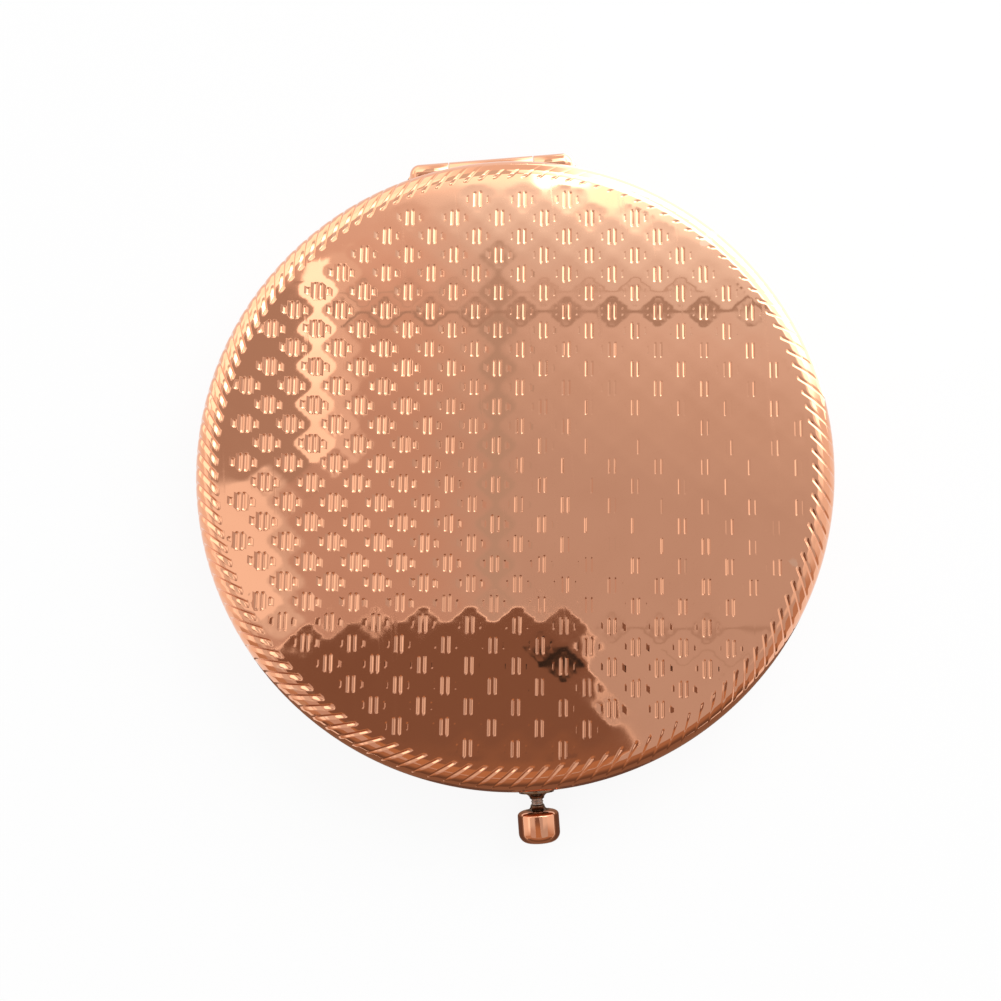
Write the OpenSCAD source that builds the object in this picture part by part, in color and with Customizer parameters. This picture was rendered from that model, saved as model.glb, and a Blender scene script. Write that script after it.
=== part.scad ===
// Round compact mirror. Two pressed shells are joined by a barrel hinge, each holds a mirror behind a ring
// frame, and a push knob at the front slides a catch plate off the hook of the lid.
// The closed compact lies on its base, with the middle of the base at the origin and +Z up.
// The hinge axis lies along X at the back (+Y) and the knob is at the front (-Y). Millimetres.
// The lid's pieces are modelled as for the base and turned over, except where they differ.

/* [Shells] */
// Outer radius of both shells
shell_r = 32.5; // [30:0.5:40]
// Height of the closed compact
closed_h = 9; // [8.8:0.1:12]
// Thickness of the sheet that the shells are pressed from
shell_t = 0.45; // [0.35:0.05:0.55]
// Radius of the rounded rim of each shell
edge_r = 2.2; // [2:0.1:2.4]
// Gap between the two shells at the seam
seam_gap = 0.1; // [0.06:0.02:0.2]

/* [Mirrors] */
// Thickness of both mirrors
mirror_t = 1.5; // [1:0.1:1.6]
// Radius of the hollow face of the magnifying mirror in the base
mirror_curve_r = 1000; // [600:50:2000]
// Flat border round the hollow face
mirror_flat_w = 0.7; // [0.4:0.1:1]
// Thickness of the backing discs behind the mirrors
pad_t = 1.2; // [0.8:0.1:1.3]
// How far a backing disc stays inside the edge of its mirror
pad_inset = 0.3; // [0.1:0.1:1]

/* [Ring frames] */
// Thickness of the sheet of the frames
frame_t = 0.4; // [0.3:0.05:0.45]
// How deep the frames lie below the seam
frame_drop = 0.35; // [0.3:0.05:0.4]
// How far the inner lip of a frame reaches over its mirror
lip_overlap = 0.6; // [0.5:0.1:1]
// Gap between a frame and the wall of its shell
frame_gap = 0.1; // [0.05:0.05:0.15]
// Seat clearance between pieces that lie on each other
seat_gap = 0.05; // [0.02:0.01:0.06]

/* [Hinge] */
// Outer radius of the hinge barrel
barrel_r = 1.25; // [1.2:0.05:1.3]
// How far the hinge axis lies outside the shells
hinge_out = 0.25; // [0.2:0.05:0.5]
// Length of the whole barrel
hinge_w = 17.7; // [16:0.1:19]
// Length of the middle knuckle, which belongs to the lid
mid_w = 9.1; // [7:0.1:10]
// Gap between the knuckles
knuckle_gap = 0.08; // [0.05:0.01:0.15]
// Rounding of the ends of the barrel
barrel_end_r = 0.7; // [0.4:0.1:0.8]
// Radius of the hinge pin
pin_r = 0.6; // [0.5:0.05:0.7]
// Radial clearance of the pin in the knuckles
pin_clear = 0.04; // [0.02:0.01:0.08]
// Solid end of an outer knuckle beyond the pin
pin_cap = 0.6; // [0.4:0.1:0.8]
// Thickness of the hinge leaves
leaf_t = 0.4; // [0.3:0.05:0.45]
// Length of a leaf, from the hinge axis to its inner edge
leaf_len = 4.15; // [3.8:0.05:4.3]
// How far the feet beside the barrel reach past its ends
foot_w = 0.45; // [0.2:0.05:0.6]
// Room round the barrel in the shells
hinge_clear = 0.25; // [0.2:0.05:0.35]

/* [Knob and stem] */
// Radius of the knob
knob_r = 2.1; // [1.8:0.1:2.3]
// Length of the knob's thick part
knob_len = 2.85; // [2.4:0.05:3.5]
// Distance from the shell to the shoulder of the knob
knob_out = 3; // [2.95:0.05:3.6]
// Rounding of the knob's inner edge
knob_in_r = 0.6; // [0.3:0.1:0.7]
// Rounding of the knob's outer edge
knob_out_r = 1; // [0.6:0.1:1.2]
// How deep the stem sits in the knob
knob_bore_len = 2.3; // [1.8:0.1:2.4]
// Radius of the concave flares on the collar and the knob
flare_r = 0.6; // [0.4:0.05:0.62]
// Radius of the stem
stem_r = 0.625; // [0.55:0.025:0.65]
// Radius of the stem's thin tail inside the spring
tail_r = 0.42; // [0.35:0.01:0.45]
// Radial clearance of the stem in the collar
stem_clear = 0.05; // [0.03:0.01:0.08]
// Distance from the seam down to the axis of the stem
stem_drop = 2.05; // [2:0.05:2.1]
// Travel of the knob
travel = 0.6; // [0.5:0.05:0.62]

/* [Collar] */
// Radius of the collar's flange outside the shell
collar_r = 1.8; // [1.6:0.05:1.9]
// How far the flange stands out of the shell
collar_out = 1.05; // [0.8:0.05:1.1]
// Radius of the sleeve in the wall of the shell
sleeve_r = 1.05; // [1:0.05:1.1]
// Thickness of the turned-over lip inside the shell
collar_lip_t = 0.2; // [0.15:0.05:0.25]
// How far the collar reaches into the shell
collar_in = 0.65; // [0.6:0.01:0.7]

/* [Catch] */
// Thickness of the catch plate
slide_t = 0.35; // [0.3:0.05:0.4]
// Half width of the catch plate
slide_half = 3.3; // [3.2:0.1:3.6]
// Thickness of the ring that holds the stem in the catch plate
clip_t = 0.25; // [0.2:0.05:0.35]
// Length of the spring at rest
spring_len = 2.5; // [2.4:0.1:3.2]
// Radius of the spring's wire
wire_r = 0.12; // [0.08:0.01:0.14]
// Turns of the spring
spring_turns = 3.5; // [3:0.25:3.5]
// Thickness of the bracket's sheet
bracket_t = 0.3; // [0.25:0.05:0.35]
// Room between the bracket and the mirrors
mirror_clear = 0.45; // [0.4:0.05:1]
// Width of each prong of the lid's hook
prong_w = 0.9; // [0.7:0.05:1]
// Distance from the middle to the inner side of a prong
prong_x = 1.5; // [1.4:0.05:1.6]
// Thickness of the hook's sheet
catch_t = 0.4; // [0.3:0.05:0.45]
// Length of the nose at the end of each prong
nose_len = 0.45; // [0.35:0.05:0.5]
// Depth of the hook below the catch plate's underside
nose_h = 1; // [0.8:0.05:1.1]

/* [Rivets] */
// Radius of the rivets' shanks
rivet_r = 0.4; // [0.35:0.05:0.45]
// Radius of the rivets' heads
head_r = 0.8; // [0.7:0.05:0.85]
// Height of the rivets' heads
head_h = 0.25; // [0.15:0.05:0.3]

/* [Hidden] */
$fn = 96;

// Colours
rose_gold = [0.80, 0.54, 0.43];
pale_gold = [0.86, 0.64, 0.52];
mirror_grey = [0.86, 0.88, 0.90];
card_grey = [0.45, 0.44, 0.42];
steel_grey = [0.62, 0.60, 0.58];
// Overrun of every cut past the faces that it goes through
cut = 0.5;
// Clearance of a fixed shank or sleeve in its hole, and at the seat of the collar on the shell
fit_gap = 0.03;

// Heights, from the underside of the base
half_h = closed_h / 2;
seam_z = half_h - seam_gap / 2;
pad_top = shell_t + pad_t;
mirror_top = pad_top + mirror_t;
plate_top = seam_z - frame_drop;
plate_bottom = plate_top - frame_t;
leaf_top = plate_bottom - seat_gap;
leaf_bottom = leaf_top - leaf_t;
stem_z = seam_z - stem_drop;
slide_top = plate_bottom - seat_gap;
slide_bottom = slide_top - slide_t;

// Distances from the middle of the shells
inner_r = shell_r - shell_t;
frame_r = inner_r - frame_gap;
stop_gap = seat_gap;
tab_front = inner_r - collar_in - stop_gap;
tab_back = tab_front - slide_t;
clip_back = tab_back - clip_t;
spring_back = clip_back - spring_len;
bracket_back = spring_back - bracket_t;
mirror_r = bracket_back - mirror_clear;
hinge_y = shell_r + hinge_out;
leaf_end = hinge_y - leaf_len;
plate_end = hinge_y - barrel_r - hinge_clear;

// Widths at the hinge
hinge_half = hinge_w / 2;
leaf_half = hinge_half - barrel_end_r;
mid_half = mid_w / 2 - knuckle_gap / 2;
side_start = mid_w / 2 + knuckle_gap / 2;
foot_half = hinge_half + foot_w;
notch_half = foot_half + frame_gap;
pin_half = hinge_half - pin_cap;

// The hook in the catch plate: its prongs stay clear of the plate over the whole travel
hook_gap = 0.15;
hook_front = tab_back - travel - hook_gap;
hook_back = hook_front - catch_t;
nose_tip = hook_back - nose_len;
catch_gap = 0.12;
catch_edge = nose_tip - catch_gap;
catch_edge_w = 0.5;
slot_side = 0.2;
hook_bottom = slide_bottom - nose_h;
nose_top = slide_bottom - 2 * seat_gap;

// The bracket round the catch plate and the spring
coil_clear = 0.1;
spring_r = slide_bottom - stem_z - coil_clear;
clip_r = spring_r + seat_gap;
strap_gap = 0.3;
strap_top = stem_z - spring_r - strap_gap;
wall_in = slide_half + coil_clear;
wall_out = wall_in + bracket_t;
rail_w = 0.5;
bracket_front = clip_back + coil_clear;
flange_w = 2.5;
tab_half = slide_half - rail_w - 2 * coil_clear;

// Places of the rivets
hinge_rivet_x = leaf_half - 2 * head_r;
hinge_rivet_y = (leaf_end + plate_end) / 2;
bracket_rivet_x = wall_out + flange_w / 2;
bracket_rivet_y = (bracket_front + bracket_back) / 2;
catch_rivet_x = prong_x + prong_w + 2 * head_r + hook_gap;
catch_half = catch_rivet_x + head_r + slot_side;
catch_rivet_y = hook_back;

// Turns a piece of the base over into the lid
module as_lid() {
    translate([0, 0, closed_h]) mirror([0, 0, 1]) children();
}

// Turns a shape that is drawn along +Z so that it points out through the front, at the height of the stem
module along_stem() {
    translate([0, 0, stem_z]) rotate([90, 0, 0]) children();
}

// Turns a shape that is drawn along +Z onto the hinge axis, pointing along +X
module along_hinge() {
    translate([0, hinge_y, half_h]) rotate([0, 90, 0]) children();
}

// Both sides of a piece that is symmetric about the YZ plane
module both_sides() {
    children();
    mirror([1, 0, 0]) children();
}

// Half section of a round dish with a rounded lower edge
module dish_section(r, round_r, bottom, top) {
    translate([0, bottom]) square([r - round_r, top - bottom]);
    translate([0, bottom + round_r]) square([r, top - bottom - round_r]);
    intersection() {
        translate([r - round_r, bottom + round_r]) circle(round_r);
        translate([0, bottom]) square([r, top - bottom]);
    }
}

// Pressed shell: a shallow cup with a notch for the hinge in its wall
module shell_cup() {
    notch_z = min(half_h - barrel_r, leaf_bottom) - hinge_clear;
    difference() {
        rotate_extrude() difference() {
            dish_section(shell_r, edge_r, 0, seam_z);
            dish_section(inner_r, edge_r - shell_t, shell_t, seam_z + cut);
        }
        translate([-notch_half, leaf_end, notch_z]) cube([2 * notch_half, leaf_len + cut, half_h]);
    }
}

// Height at which the skirt of a frame meets the rounded inside of its shell
function skirt_seat() = let (corner = edge_r - shell_t, reach = frame_r - shell_r + edge_r)
    edge_r - sqrt(max(corner * corner - reach * reach, 0));

// Ring frame: an inner lip over the mirror, a flat ring and a skirt inside the wall of the shell
module frame_ring(front_cut_half) {
    bore_r = mirror_r - lip_overlap;
    skirt_z = skirt_seat() + seat_gap;
    difference() {
        rotate_extrude() {
            translate([bore_r, plate_bottom]) square([frame_r - bore_r, frame_t]);
            translate([bore_r, mirror_top + seat_gap]) square([frame_t, plate_top - mirror_top - seat_gap]);
            translate([frame_r - frame_t, skirt_z]) square([frame_t, plate_top - skirt_z]);
        }
        // the skirt is open at the hinge and at the latch
        translate([-notch_half, leaf_end - seat_gap, 0])
            cube([2 * notch_half, shell_r, plate_bottom]);
        translate([-front_cut_half, -shell_r, 0])
            cube([2 * front_cut_half, shell_r - bracket_back - seat_gap, plate_bottom]);
        // the flat ring ends in front of the barrel
        translate([-notch_half, plate_end, 0]) cube([2 * notch_half, shell_r, closed_h]);
        hook_slots();
    }
}

// The two slots in a frame's flat ring that the prongs of the hook pass through
module hook_slots() {
    both_sides()
        translate([prong_x - slot_side, -hook_front - slot_side, plate_bottom - cut])
            cube([prong_w + 2 * slot_side, hook_front - nose_tip + 2 * slot_side, frame_t + 2 * cut]);
}

// Holes for a pair of rivets at x and y through the sheets near the flat ring
module rivet_holes(x, y) {
    both_sides() translate([x, y, plate_bottom - leaf_t - cut])
        cylinder(r = rivet_r + fit_gap, h = leaf_t + frame_t + 2 * cut);
}

// A pair of rivets through the flat ring and a sheet of thickness t under it, with a head at each end
module rivet_pair(x, y, t) {
    both_sides() translate([x, y, 0]) {
        translate([0, 0, plate_bottom - t]) cylinder(r = rivet_r, h = frame_t + t);
        translate([0, 0, plate_top]) rivet_head();
        translate([0, 0, plate_bottom - t]) mirror([0, 0, 1]) rivet_head();
    }
}

// Rivet head: a low cap cut from a ball
module rivet_head() {
    ball_r = (head_r * head_r + head_h * head_h) / (2 * head_h);
    intersection() {
        translate([0, 0, head_h - ball_r]) sphere(ball_r);
        cylinder(r = head_r + cut, h = head_h + cut);
    }
}

module base_shell() {
    color(rose_gold) difference() {
        shell_cup();
        along_stem() translate([0, 0, tab_front]) cylinder(r = sleeve_r + fit_gap, h = collar_in + cut + shell_t);
    }
}

module lid_shell() {
    color(rose_gold) as_lid() shell_cup();
}

module base_frame() {
    color(pale_gold) difference() {
        frame_ring(wall_out + rail_w);
        rivet_holes(hinge_rivet_x, hinge_rivet_y);
        rivet_holes(bracket_rivet_x, -bracket_rivet_y);
    }
}

module lid_frame() {
    color(pale_gold) as_lid() difference() {
        frame_ring(wall_out + rail_w);
        rivet_holes(hinge_rivet_x, hinge_rivet_y);
        rivet_holes(catch_rivet_x, -catch_rivet_y);
    }
}

// The magnifying mirror: a disc with a slightly hollow face
module base_mirror() {
    hollow_r = mirror_r - mirror_flat_w;
    steps = 12;
    rim_rise = sqrt(mirror_curve_r * mirror_curve_r - hollow_r * hollow_r);
    function hollow_z(r) = mirror_top + rim_rise - sqrt(mirror_curve_r * mirror_curve_r - r * r);
    color(mirror_grey) rotate_extrude()
        polygon(concat([[0, pad_top], [mirror_r, pad_top], [mirror_r, mirror_top]],
                       [for (k = [steps : -1 : 0]) [hollow_r * k / steps, hollow_z(hollow_r * k / steps)]]));
}

// The plain mirror
module lid_mirror() {
    color(mirror_grey) as_lid() translate([0, 0, pad_top]) cylinder(r = mirror_r, h = mirror_t);
}

module backing_disc() {
    color(card_grey) translate([0, 0, shell_t]) cylinder(r = mirror_r - pad_inset, h = pad_t);
}

module base_mirror_pad() {
    backing_disc();
}

module lid_mirror_pad() {
    as_lid() backing_disc();
}

// Strip of a hinge leaf under the flat ring, and its tongue to the barrel from x0 to x1
module leaf_strip() {
    translate([-leaf_half, leaf_end, leaf_bottom]) cube([2 * leaf_half, plate_end - leaf_end, leaf_t]);
}

module leaf_tongue(x0, x1) {
    translate([x0, plate_end - seat_gap, leaf_bottom])
        cube([x1 - x0, hinge_y - plate_end + seat_gap, leaf_t]);
}

// Outer knuckle with a rounded end, from the middle knuckle to the end of the barrel
module side_knuckle() {
    along_hinge() rotate_extrude() translate([0, hinge_half]) mirror([0, 1])
        dish_section(barrel_r, barrel_end_r, 0, hinge_half - side_start);
}

// Foot that blends the end of the barrel into the shell
module barrel_foot() {
    foot_start = plate_end + seat_gap;
    translate([0, 0, leaf_bottom]) linear_extrude(half_h - seam_gap - leaf_bottom)
        polygon([[leaf_half - barrel_end_r, foot_start], [foot_half, foot_start],
                 [foot_half, hinge_y - barrel_end_r], [hinge_half, hinge_y - seam_gap],
                 [leaf_half - barrel_end_r, hinge_y]]);
}

// Bore of the knuckles, for the pin
module pin_bore(half_len) {
    along_hinge() translate([0, 0, -half_len]) cylinder(r = pin_r + pin_clear, h = 2 * half_len);
}

module base_hinge_leaf() {
    color(rose_gold) difference() {
        union() {
            leaf_strip();
            both_sides() {
                leaf_tongue(side_start, leaf_half);
                side_knuckle();
                barrel_foot();
            }
        }
        pin_bore(pin_half + seat_gap);
        rivet_holes(hinge_rivet_x, hinge_rivet_y);
    }
}

module lid_hinge_leaf() {
    color(rose_gold) difference() {
        union() {
            as_lid() leaf_strip();
            as_lid() leaf_tongue(-mid_half, mid_half);
            along_hinge() translate([0, 0, -mid_half]) cylinder(r = barrel_r, h = 2 * mid_half);
        }
        pin_bore(hinge_half);
        as_lid() rivet_holes(hinge_rivet_x, hinge_rivet_y);
    }
}

module hinge_pin() {
    color(steel_grey) along_hinge() translate([0, 0, -pin_half]) cylinder(r = pin_r, h = 2 * pin_half);
}

module base_hinge_rivets() {
    color(pale_gold) rivet_pair(hinge_rivet_x, hinge_rivet_y, leaf_t + seat_gap);
}

module lid_hinge_rivets() {
    color(pale_gold) as_lid() rivet_pair(hinge_rivet_x, hinge_rivet_y, leaf_t + seat_gap);
}

// Collar: a flange seated on the shell, a flare round the stem and a sleeve through the wall
module latch_collar() {
    flange_end = shell_r + collar_out;
    mouth_r = stem_r + stem_clear + seat_gap;
    color(rose_gold) difference() {
        union() {
            difference() {
                along_stem() rotate_extrude() {
                    translate([0, inner_r - collar_in]) square([collar_r, flange_end - inner_r + collar_in]);
                    difference() {
                        translate([0, flange_end]) square([mouth_r + flare_r, flare_r]);
                        translate([mouth_r + flare_r, flange_end + flare_r]) circle(flare_r);
                    }
                }
                rotate_extrude() dish_section(shell_r + fit_gap, edge_r + fit_gap, -fit_gap, closed_h);
            }
            along_stem() translate([0, 0, inner_r - collar_in])
                cylinder(r = sleeve_r, h = collar_in + collar_out);
            along_stem() translate([0, 0, inner_r - collar_in])
                cylinder(r = sleeve_r + collar_lip_t, h = collar_lip_t);
        }
        along_stem() translate([0, 0, tab_front])
            cylinder(r = stem_r + stem_clear, h = knob_out + collar_in + shell_t);
    }
}

// Knob: a concave flare, a shoulder and a thick rounded body, bored for the stem
module latch_knob() {
    shoulder = shell_r + knob_out;
    neck_r = stem_r + stem_clear + fit_gap;
    color(rose_gold) along_stem() difference() {
        rotate_extrude() {
            difference() {
                translate([0, shoulder - flare_r]) square([neck_r + flare_r, flare_r]);
                translate([neck_r + flare_r, shoulder - flare_r]) circle(flare_r);
            }
            translate([0, shoulder]) knob_section();
        }
        translate([0, 0, shoulder - flare_r - cut])
            cylinder(r = stem_r + fit_gap, h = cut + knob_bore_len);
    }
}

// Half section of the knob's thick part, with a smaller and a larger rounding
module knob_section() {
    square([knob_r - knob_in_r, knob_len / 2]);
    translate([0, knob_in_r]) square([knob_r, knob_len - knob_in_r - knob_out_r]);
    translate([0, knob_len / 2]) square([knob_r - knob_out_r, knob_len / 2]);
    translate([knob_r - knob_in_r, knob_in_r]) circle(knob_in_r);
    intersection() {
        translate([knob_r - knob_out_r, knob_len - knob_out_r]) circle(knob_out_r);
        square([knob_r, knob_len]);
    }
}

// Stem: a rod from the knob to the catch plate, with a thin tail inside the spring
module latch_stem() {
    stem_end = shell_r + knob_out - flare_r + knob_bore_len - seat_gap;
    tail_end = clip_back - spring_len / 2 + wire_r;
    color(steel_grey) along_stem() {
        translate([0, 0, tab_front]) cylinder(r = stem_r, h = stem_end - tab_front);
        translate([0, 0, tail_end]) cylinder(r = tail_r, h = tab_front - tail_end);
    }
}

// Ring pressed on the stem's tail behind the catch plate, and the seat of the spring
module latch_stem_clip() {
    color(steel_grey) along_stem() difference() {
        translate([0, 0, clip_back]) cylinder(r = clip_r, h = clip_t);
        translate([0, 0, clip_back - cut]) cylinder(r = tail_r + fit_gap, h = clip_t + 2 * cut);
    }
}

// Catch plate: it slides under the flat ring of the base and is bent down to meet the stem
module latch_slide() {
    slide_end = catch_edge - catch_edge_w;
    tab_bottom = strap_top + coil_clear;
    color(steel_grey) difference() {
        union() {
            translate([-slide_half, -tab_front, slide_bottom]) cube([2 * slide_half, tab_front - slide_end, slide_t]);
            translate([-tab_half, -tab_front, tab_bottom]) cube([2 * tab_half, slide_t, slide_top - tab_bottom]);
        }
        both_sides() translate([prong_x - slot_side, -tab_back, slide_bottom - cut])
            cube([prong_w + 2 * slot_side, tab_back - catch_edge, slide_t + 2 * cut]);
        along_stem() translate([0, 0, tab_back - cut]) cylinder(r = tail_r + fit_gap, h = slide_t + 2 * cut);
    }
}

// Bracket under the flat ring of the base: it guides the catch plate and backs the spring
module latch_bracket() {
    strap_bottom = strap_top - bracket_t;
    depth = bracket_front - bracket_back;
    rail_top = slide_bottom - seat_gap;
    color(pale_gold) difference() {
        union() {
            translate([-wall_out, -bracket_front, strap_bottom]) cube([2 * wall_out, depth, bracket_t]);
            translate([-wall_out, -spring_back, strap_bottom])
                cube([2 * wall_out, bracket_t, rail_top - strap_bottom]);
            both_sides() {
                translate([wall_in, -bracket_front, strap_bottom])
                    cube([bracket_t, depth, plate_bottom - strap_bottom]);
                translate([wall_in - rail_w, -bracket_front, rail_top - bracket_t])
                    cube([rail_w + bracket_t, depth, bracket_t]);
                translate([wall_in, -bracket_front, plate_bottom - bracket_t])
                    cube([bracket_t + flange_w, depth, bracket_t]);
            }
        }
        rivet_holes(bracket_rivet_x, -bracket_rivet_y);
    }
}

module latch_bracket_rivets() {
    color(pale_gold) rivet_pair(bracket_rivet_x, -bracket_rivet_y, bracket_t);
}

// Hook of the lid: a foot on the hidden side of the lid's flat ring and two prongs with a nose each
module lid_catch() {
    foot_z = closed_h - plate_bottom;
    foot_back = catch_rivet_y - head_r;
    color(steel_grey) difference() {
        union() {
            translate([-catch_half, -hook_front, foot_z]) cube([2 * catch_half, hook_front - foot_back, catch_t]);
            both_sides() translate([prong_x, 0, 0]) hook_prong(foot_z + catch_t);
        }
        as_lid() rivet_holes(catch_rivet_x, -catch_rivet_y);
    }
}

// One prong, from its bent end up to the height top_z
module hook_prong(top_z) {
    rotate([90, 0, 90]) linear_extrude(prong_w)
        polygon([[-hook_front, hook_bottom], [-hook_back + catch_gap, hook_bottom],
                 [-nose_tip, hook_bottom + nose_len], [-nose_tip, nose_top],
                 [-hook_back, nose_top], [-hook_back, top_z], [-hook_front, top_z]]);
}

module lid_catch_rivets() {
    color(pale_gold) as_lid() rivet_pair(catch_rivet_x, -catch_rivet_y, catch_t);
}

// Coil spring between the clip on the stem and the bracket, as one swept wire
ring_steps = 8;
wire_sides = 6;
function coil_point(k, n) = let (turn = 360 * spring_turns * k / n, mean_r = spring_r - wire_r,
    run = spring_len - 2 * wire_r - 2 * seat_gap)
    [mean_r * cos(turn), wire_r + seat_gap + run * k / n, mean_r * sin(turn)];
function wire_ring(k, n) = let (turn = 360 * spring_turns * k / n, c = coil_point(k, n))
    [for (s = [0 : wire_sides - 1]) let (a = 360 * s / wire_sides)
        c + wire_r * [cos(a) * cos(turn), sin(a), cos(a) * sin(turn)]];

module latch_spring() {
    n = round(ring_steps * spring_turns);
    points = [for (k = [0 : n]) each wire_ring(k, n)];
    sides = [for (k = [0 : n - 1], s = [0 : wire_sides - 1])
        let (a = k * wire_sides + s, b = k * wire_sides + (s + 1) % wire_sides)
        each [[a, b, b + wire_sides], [a, b + wire_sides, a + wire_sides]]];
    first_end = [for (s = [1 : wire_sides - 2]) [0, s + 1, s]];
    last = n * wire_sides;
    last_end = [for (s = [1 : wire_sides - 2]) [last, last + s, last + s + 1]];
    color(steel_grey) translate([0, -clip_back, stem_z])
        polyhedron(points = points, faces = concat(sides, first_end, last_end));
}

base_shell();
base_frame();
base_mirror();
base_mirror_pad();
base_hinge_leaf();
base_hinge_rivets();
hinge_pin();
latch_collar();
latch_bracket();
latch_bracket_rivets();
latch_spring();
lid_shell();
lid_frame();
lid_mirror();
lid_mirror_pad();
lid_hinge_leaf();
lid_hinge_rivets();
lid_catch();
lid_catch_rivets();
latch_knob();
latch_stem();
latch_stem_clip();
latch_slide();
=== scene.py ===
"""Looks of a round compact mirror in polished rose gold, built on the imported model.

The lid carries rows of small pressed motifs inside a rope border. Lengths are in metres, in the frame of the
model: the closed compact lies on its base, +Z is up, the hinge is at +Y and the knob at -Y.
"""

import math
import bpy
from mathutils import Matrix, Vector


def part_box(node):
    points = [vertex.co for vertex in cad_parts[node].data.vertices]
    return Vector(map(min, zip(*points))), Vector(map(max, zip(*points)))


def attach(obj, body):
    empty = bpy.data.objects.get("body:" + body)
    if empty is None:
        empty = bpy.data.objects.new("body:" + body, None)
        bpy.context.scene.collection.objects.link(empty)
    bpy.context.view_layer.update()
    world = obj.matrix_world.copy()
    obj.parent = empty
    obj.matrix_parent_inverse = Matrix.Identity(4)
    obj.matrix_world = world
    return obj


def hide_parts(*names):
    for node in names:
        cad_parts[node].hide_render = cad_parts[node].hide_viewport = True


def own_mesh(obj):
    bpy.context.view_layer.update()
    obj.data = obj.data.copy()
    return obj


bl_info = {
    "name": "Round compact mirror",
    "version": (1, 0, 0),
    "blender": (4, 5, 0),
    "location": "View3D > Sidebar > Compact",
    "description": "Builds the shells, hinge, latch, mirrors and studio of a round compact mirror",
    "category": "Add Mesh",
}

from collections import namedtuple

import bmesh
import bpy
import numpy as np
from bpy.props import FloatProperty, FloatVectorProperty, IntProperty, PointerProperty
from bpy.types import Operator, Panel, PropertyGroup
from mathutils import Matrix, Vector

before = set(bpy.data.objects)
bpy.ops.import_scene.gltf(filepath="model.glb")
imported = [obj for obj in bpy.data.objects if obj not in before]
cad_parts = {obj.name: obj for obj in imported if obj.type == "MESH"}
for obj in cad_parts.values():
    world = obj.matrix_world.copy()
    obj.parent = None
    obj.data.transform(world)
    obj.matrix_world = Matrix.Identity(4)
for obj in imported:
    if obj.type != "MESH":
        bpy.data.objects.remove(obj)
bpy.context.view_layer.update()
MM = 0.001
WHOLE_TURN = 2 * math.pi
LID_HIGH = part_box("lid_shell")[1]
STEM_LOW, STEM_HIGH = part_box("latch_stem")
KNOB_LOW, KNOB_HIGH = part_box("latch_knob")
PIN_LOW, PIN_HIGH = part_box("hinge_pin")
HINGE_AXIS = Vector((0, (PIN_LOW.y + PIN_HIGH.y) / 2, (PIN_LOW.z + PIN_HIGH.z) / 2))
STEM_AXIS = Vector((0, 0, (STEM_LOW.z + STEM_HIGH.z) / 2))


def length(name, use, millimetres):
    """A length of the settings, given in millimetres"""
    return FloatProperty(name=name, description=use, default=millimetres * MM, precision=5, unit="LENGTH")


def angle_of(name, use, degrees):
    """An angle of the settings, given in degrees"""
    return FloatProperty(name=name, description=use, default=math.radians(degrees), subtype="ANGLE")


def colour(name, use, value):
    """A colour of the settings"""
    return FloatVectorProperty(name=name, description=use, default=value, min=0, max=1, subtype="COLOR")


class CompactSizes(PropertyGroup):
    """Sizes of the shells and of what is pressed into them"""

    shell_r: length("Shell radius", "Outer radius of both shells", LID_HIGH.x / MM)
    closed_h: length("Closed height", "Height of the closed compact", LID_HIGH.z / MM)
    sheet: length("Sheet", "Thickness of the pressed sheet", 0.45)
    rim_round: length("Rim rounding", "Radius of the rounded rim of each shell", 2.2)
    seam_gap: length("Seam gap", "Gap between the two shells", 0.1)
    border_r: length("Border radius", "Radius at which the plain border of the face starts", 29.6)
    notch_half: length("Notch", "Half width of the notch for the hinge", 9.4)
    notch_rise: length("Notch height", "How far the notch reaches past the seam", 1.45)
    motif_pitch: length("Motif pitch", "Distance between the motifs of a row", 4.637)
    row_pitch: length("Row pitch", "Distance between two rows of motifs", 1.9895)
    motif_x: length("Motif X", "Place of one motif across the lid", -10.391)
    motif_y: length("Motif Y", "Place of one motif along the lid", 6.578)
    motif_turn: angle_of("Motif turn", "Turn of the rows about the middle of the lid", -4.854)
    groove_depth: length("Groove depth", "Depth of the four grooves of a motif", 0.095)
    dimple_depth: length("Dimple depth", "Depth of the soft hollow round the grooves", 0.009)
    rope_count: IntProperty(name="Rope strokes", description="Strokes of the rope border", default=126)
    rope_depth: length("Rope depth", "Depth of the grooves between the strokes", 0.16)
    rope_lean: angle_of("Rope lean", "Turn of a stroke from its outer to its inner end", 5.0)


class CompactFinish(PropertyGroup):
    """Colours of the finishes"""

    rose_gold: colour("Rose gold", "Polished plating of the shells, hinge and knob", (0.90, 0.45, 0.28))
    # Darker tone under handling smudges, and the painted shade in the pressed grooves and dimples of the lid
    rose_smudge_and_shade: colour("Tarnish", "Plating where polish doesn't reach", (0.55, 0.22, 0.12))
    inner_gold: colour("Inner plate", "Satin plating of the ring frames", (0.88, 0.52, 0.36))
    mirror: colour("Mirror", "Silvered glass", (0.90, 0.93, 0.93))
    card: colour("Card", "Backing card", (0.23, 0.21, 0.19))
    steel: colour("Steel", "Stem, spring and catch", (0.52, 0.48, 0.45))


def sizes():
    """The sizes as they are set in the scene"""
    return bpy.context.scene.compact_sizes


def finish():
    """The colours as they are set in the scene"""
    return bpy.context.scene.compact_finish


# Nodes

# Turn of each set of hairlines, and the scale of its noise along them
SCRATCH_WAYS = ((0.5, 0.035), (-0.9, 0.05), (2.0, 0.03))
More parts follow.
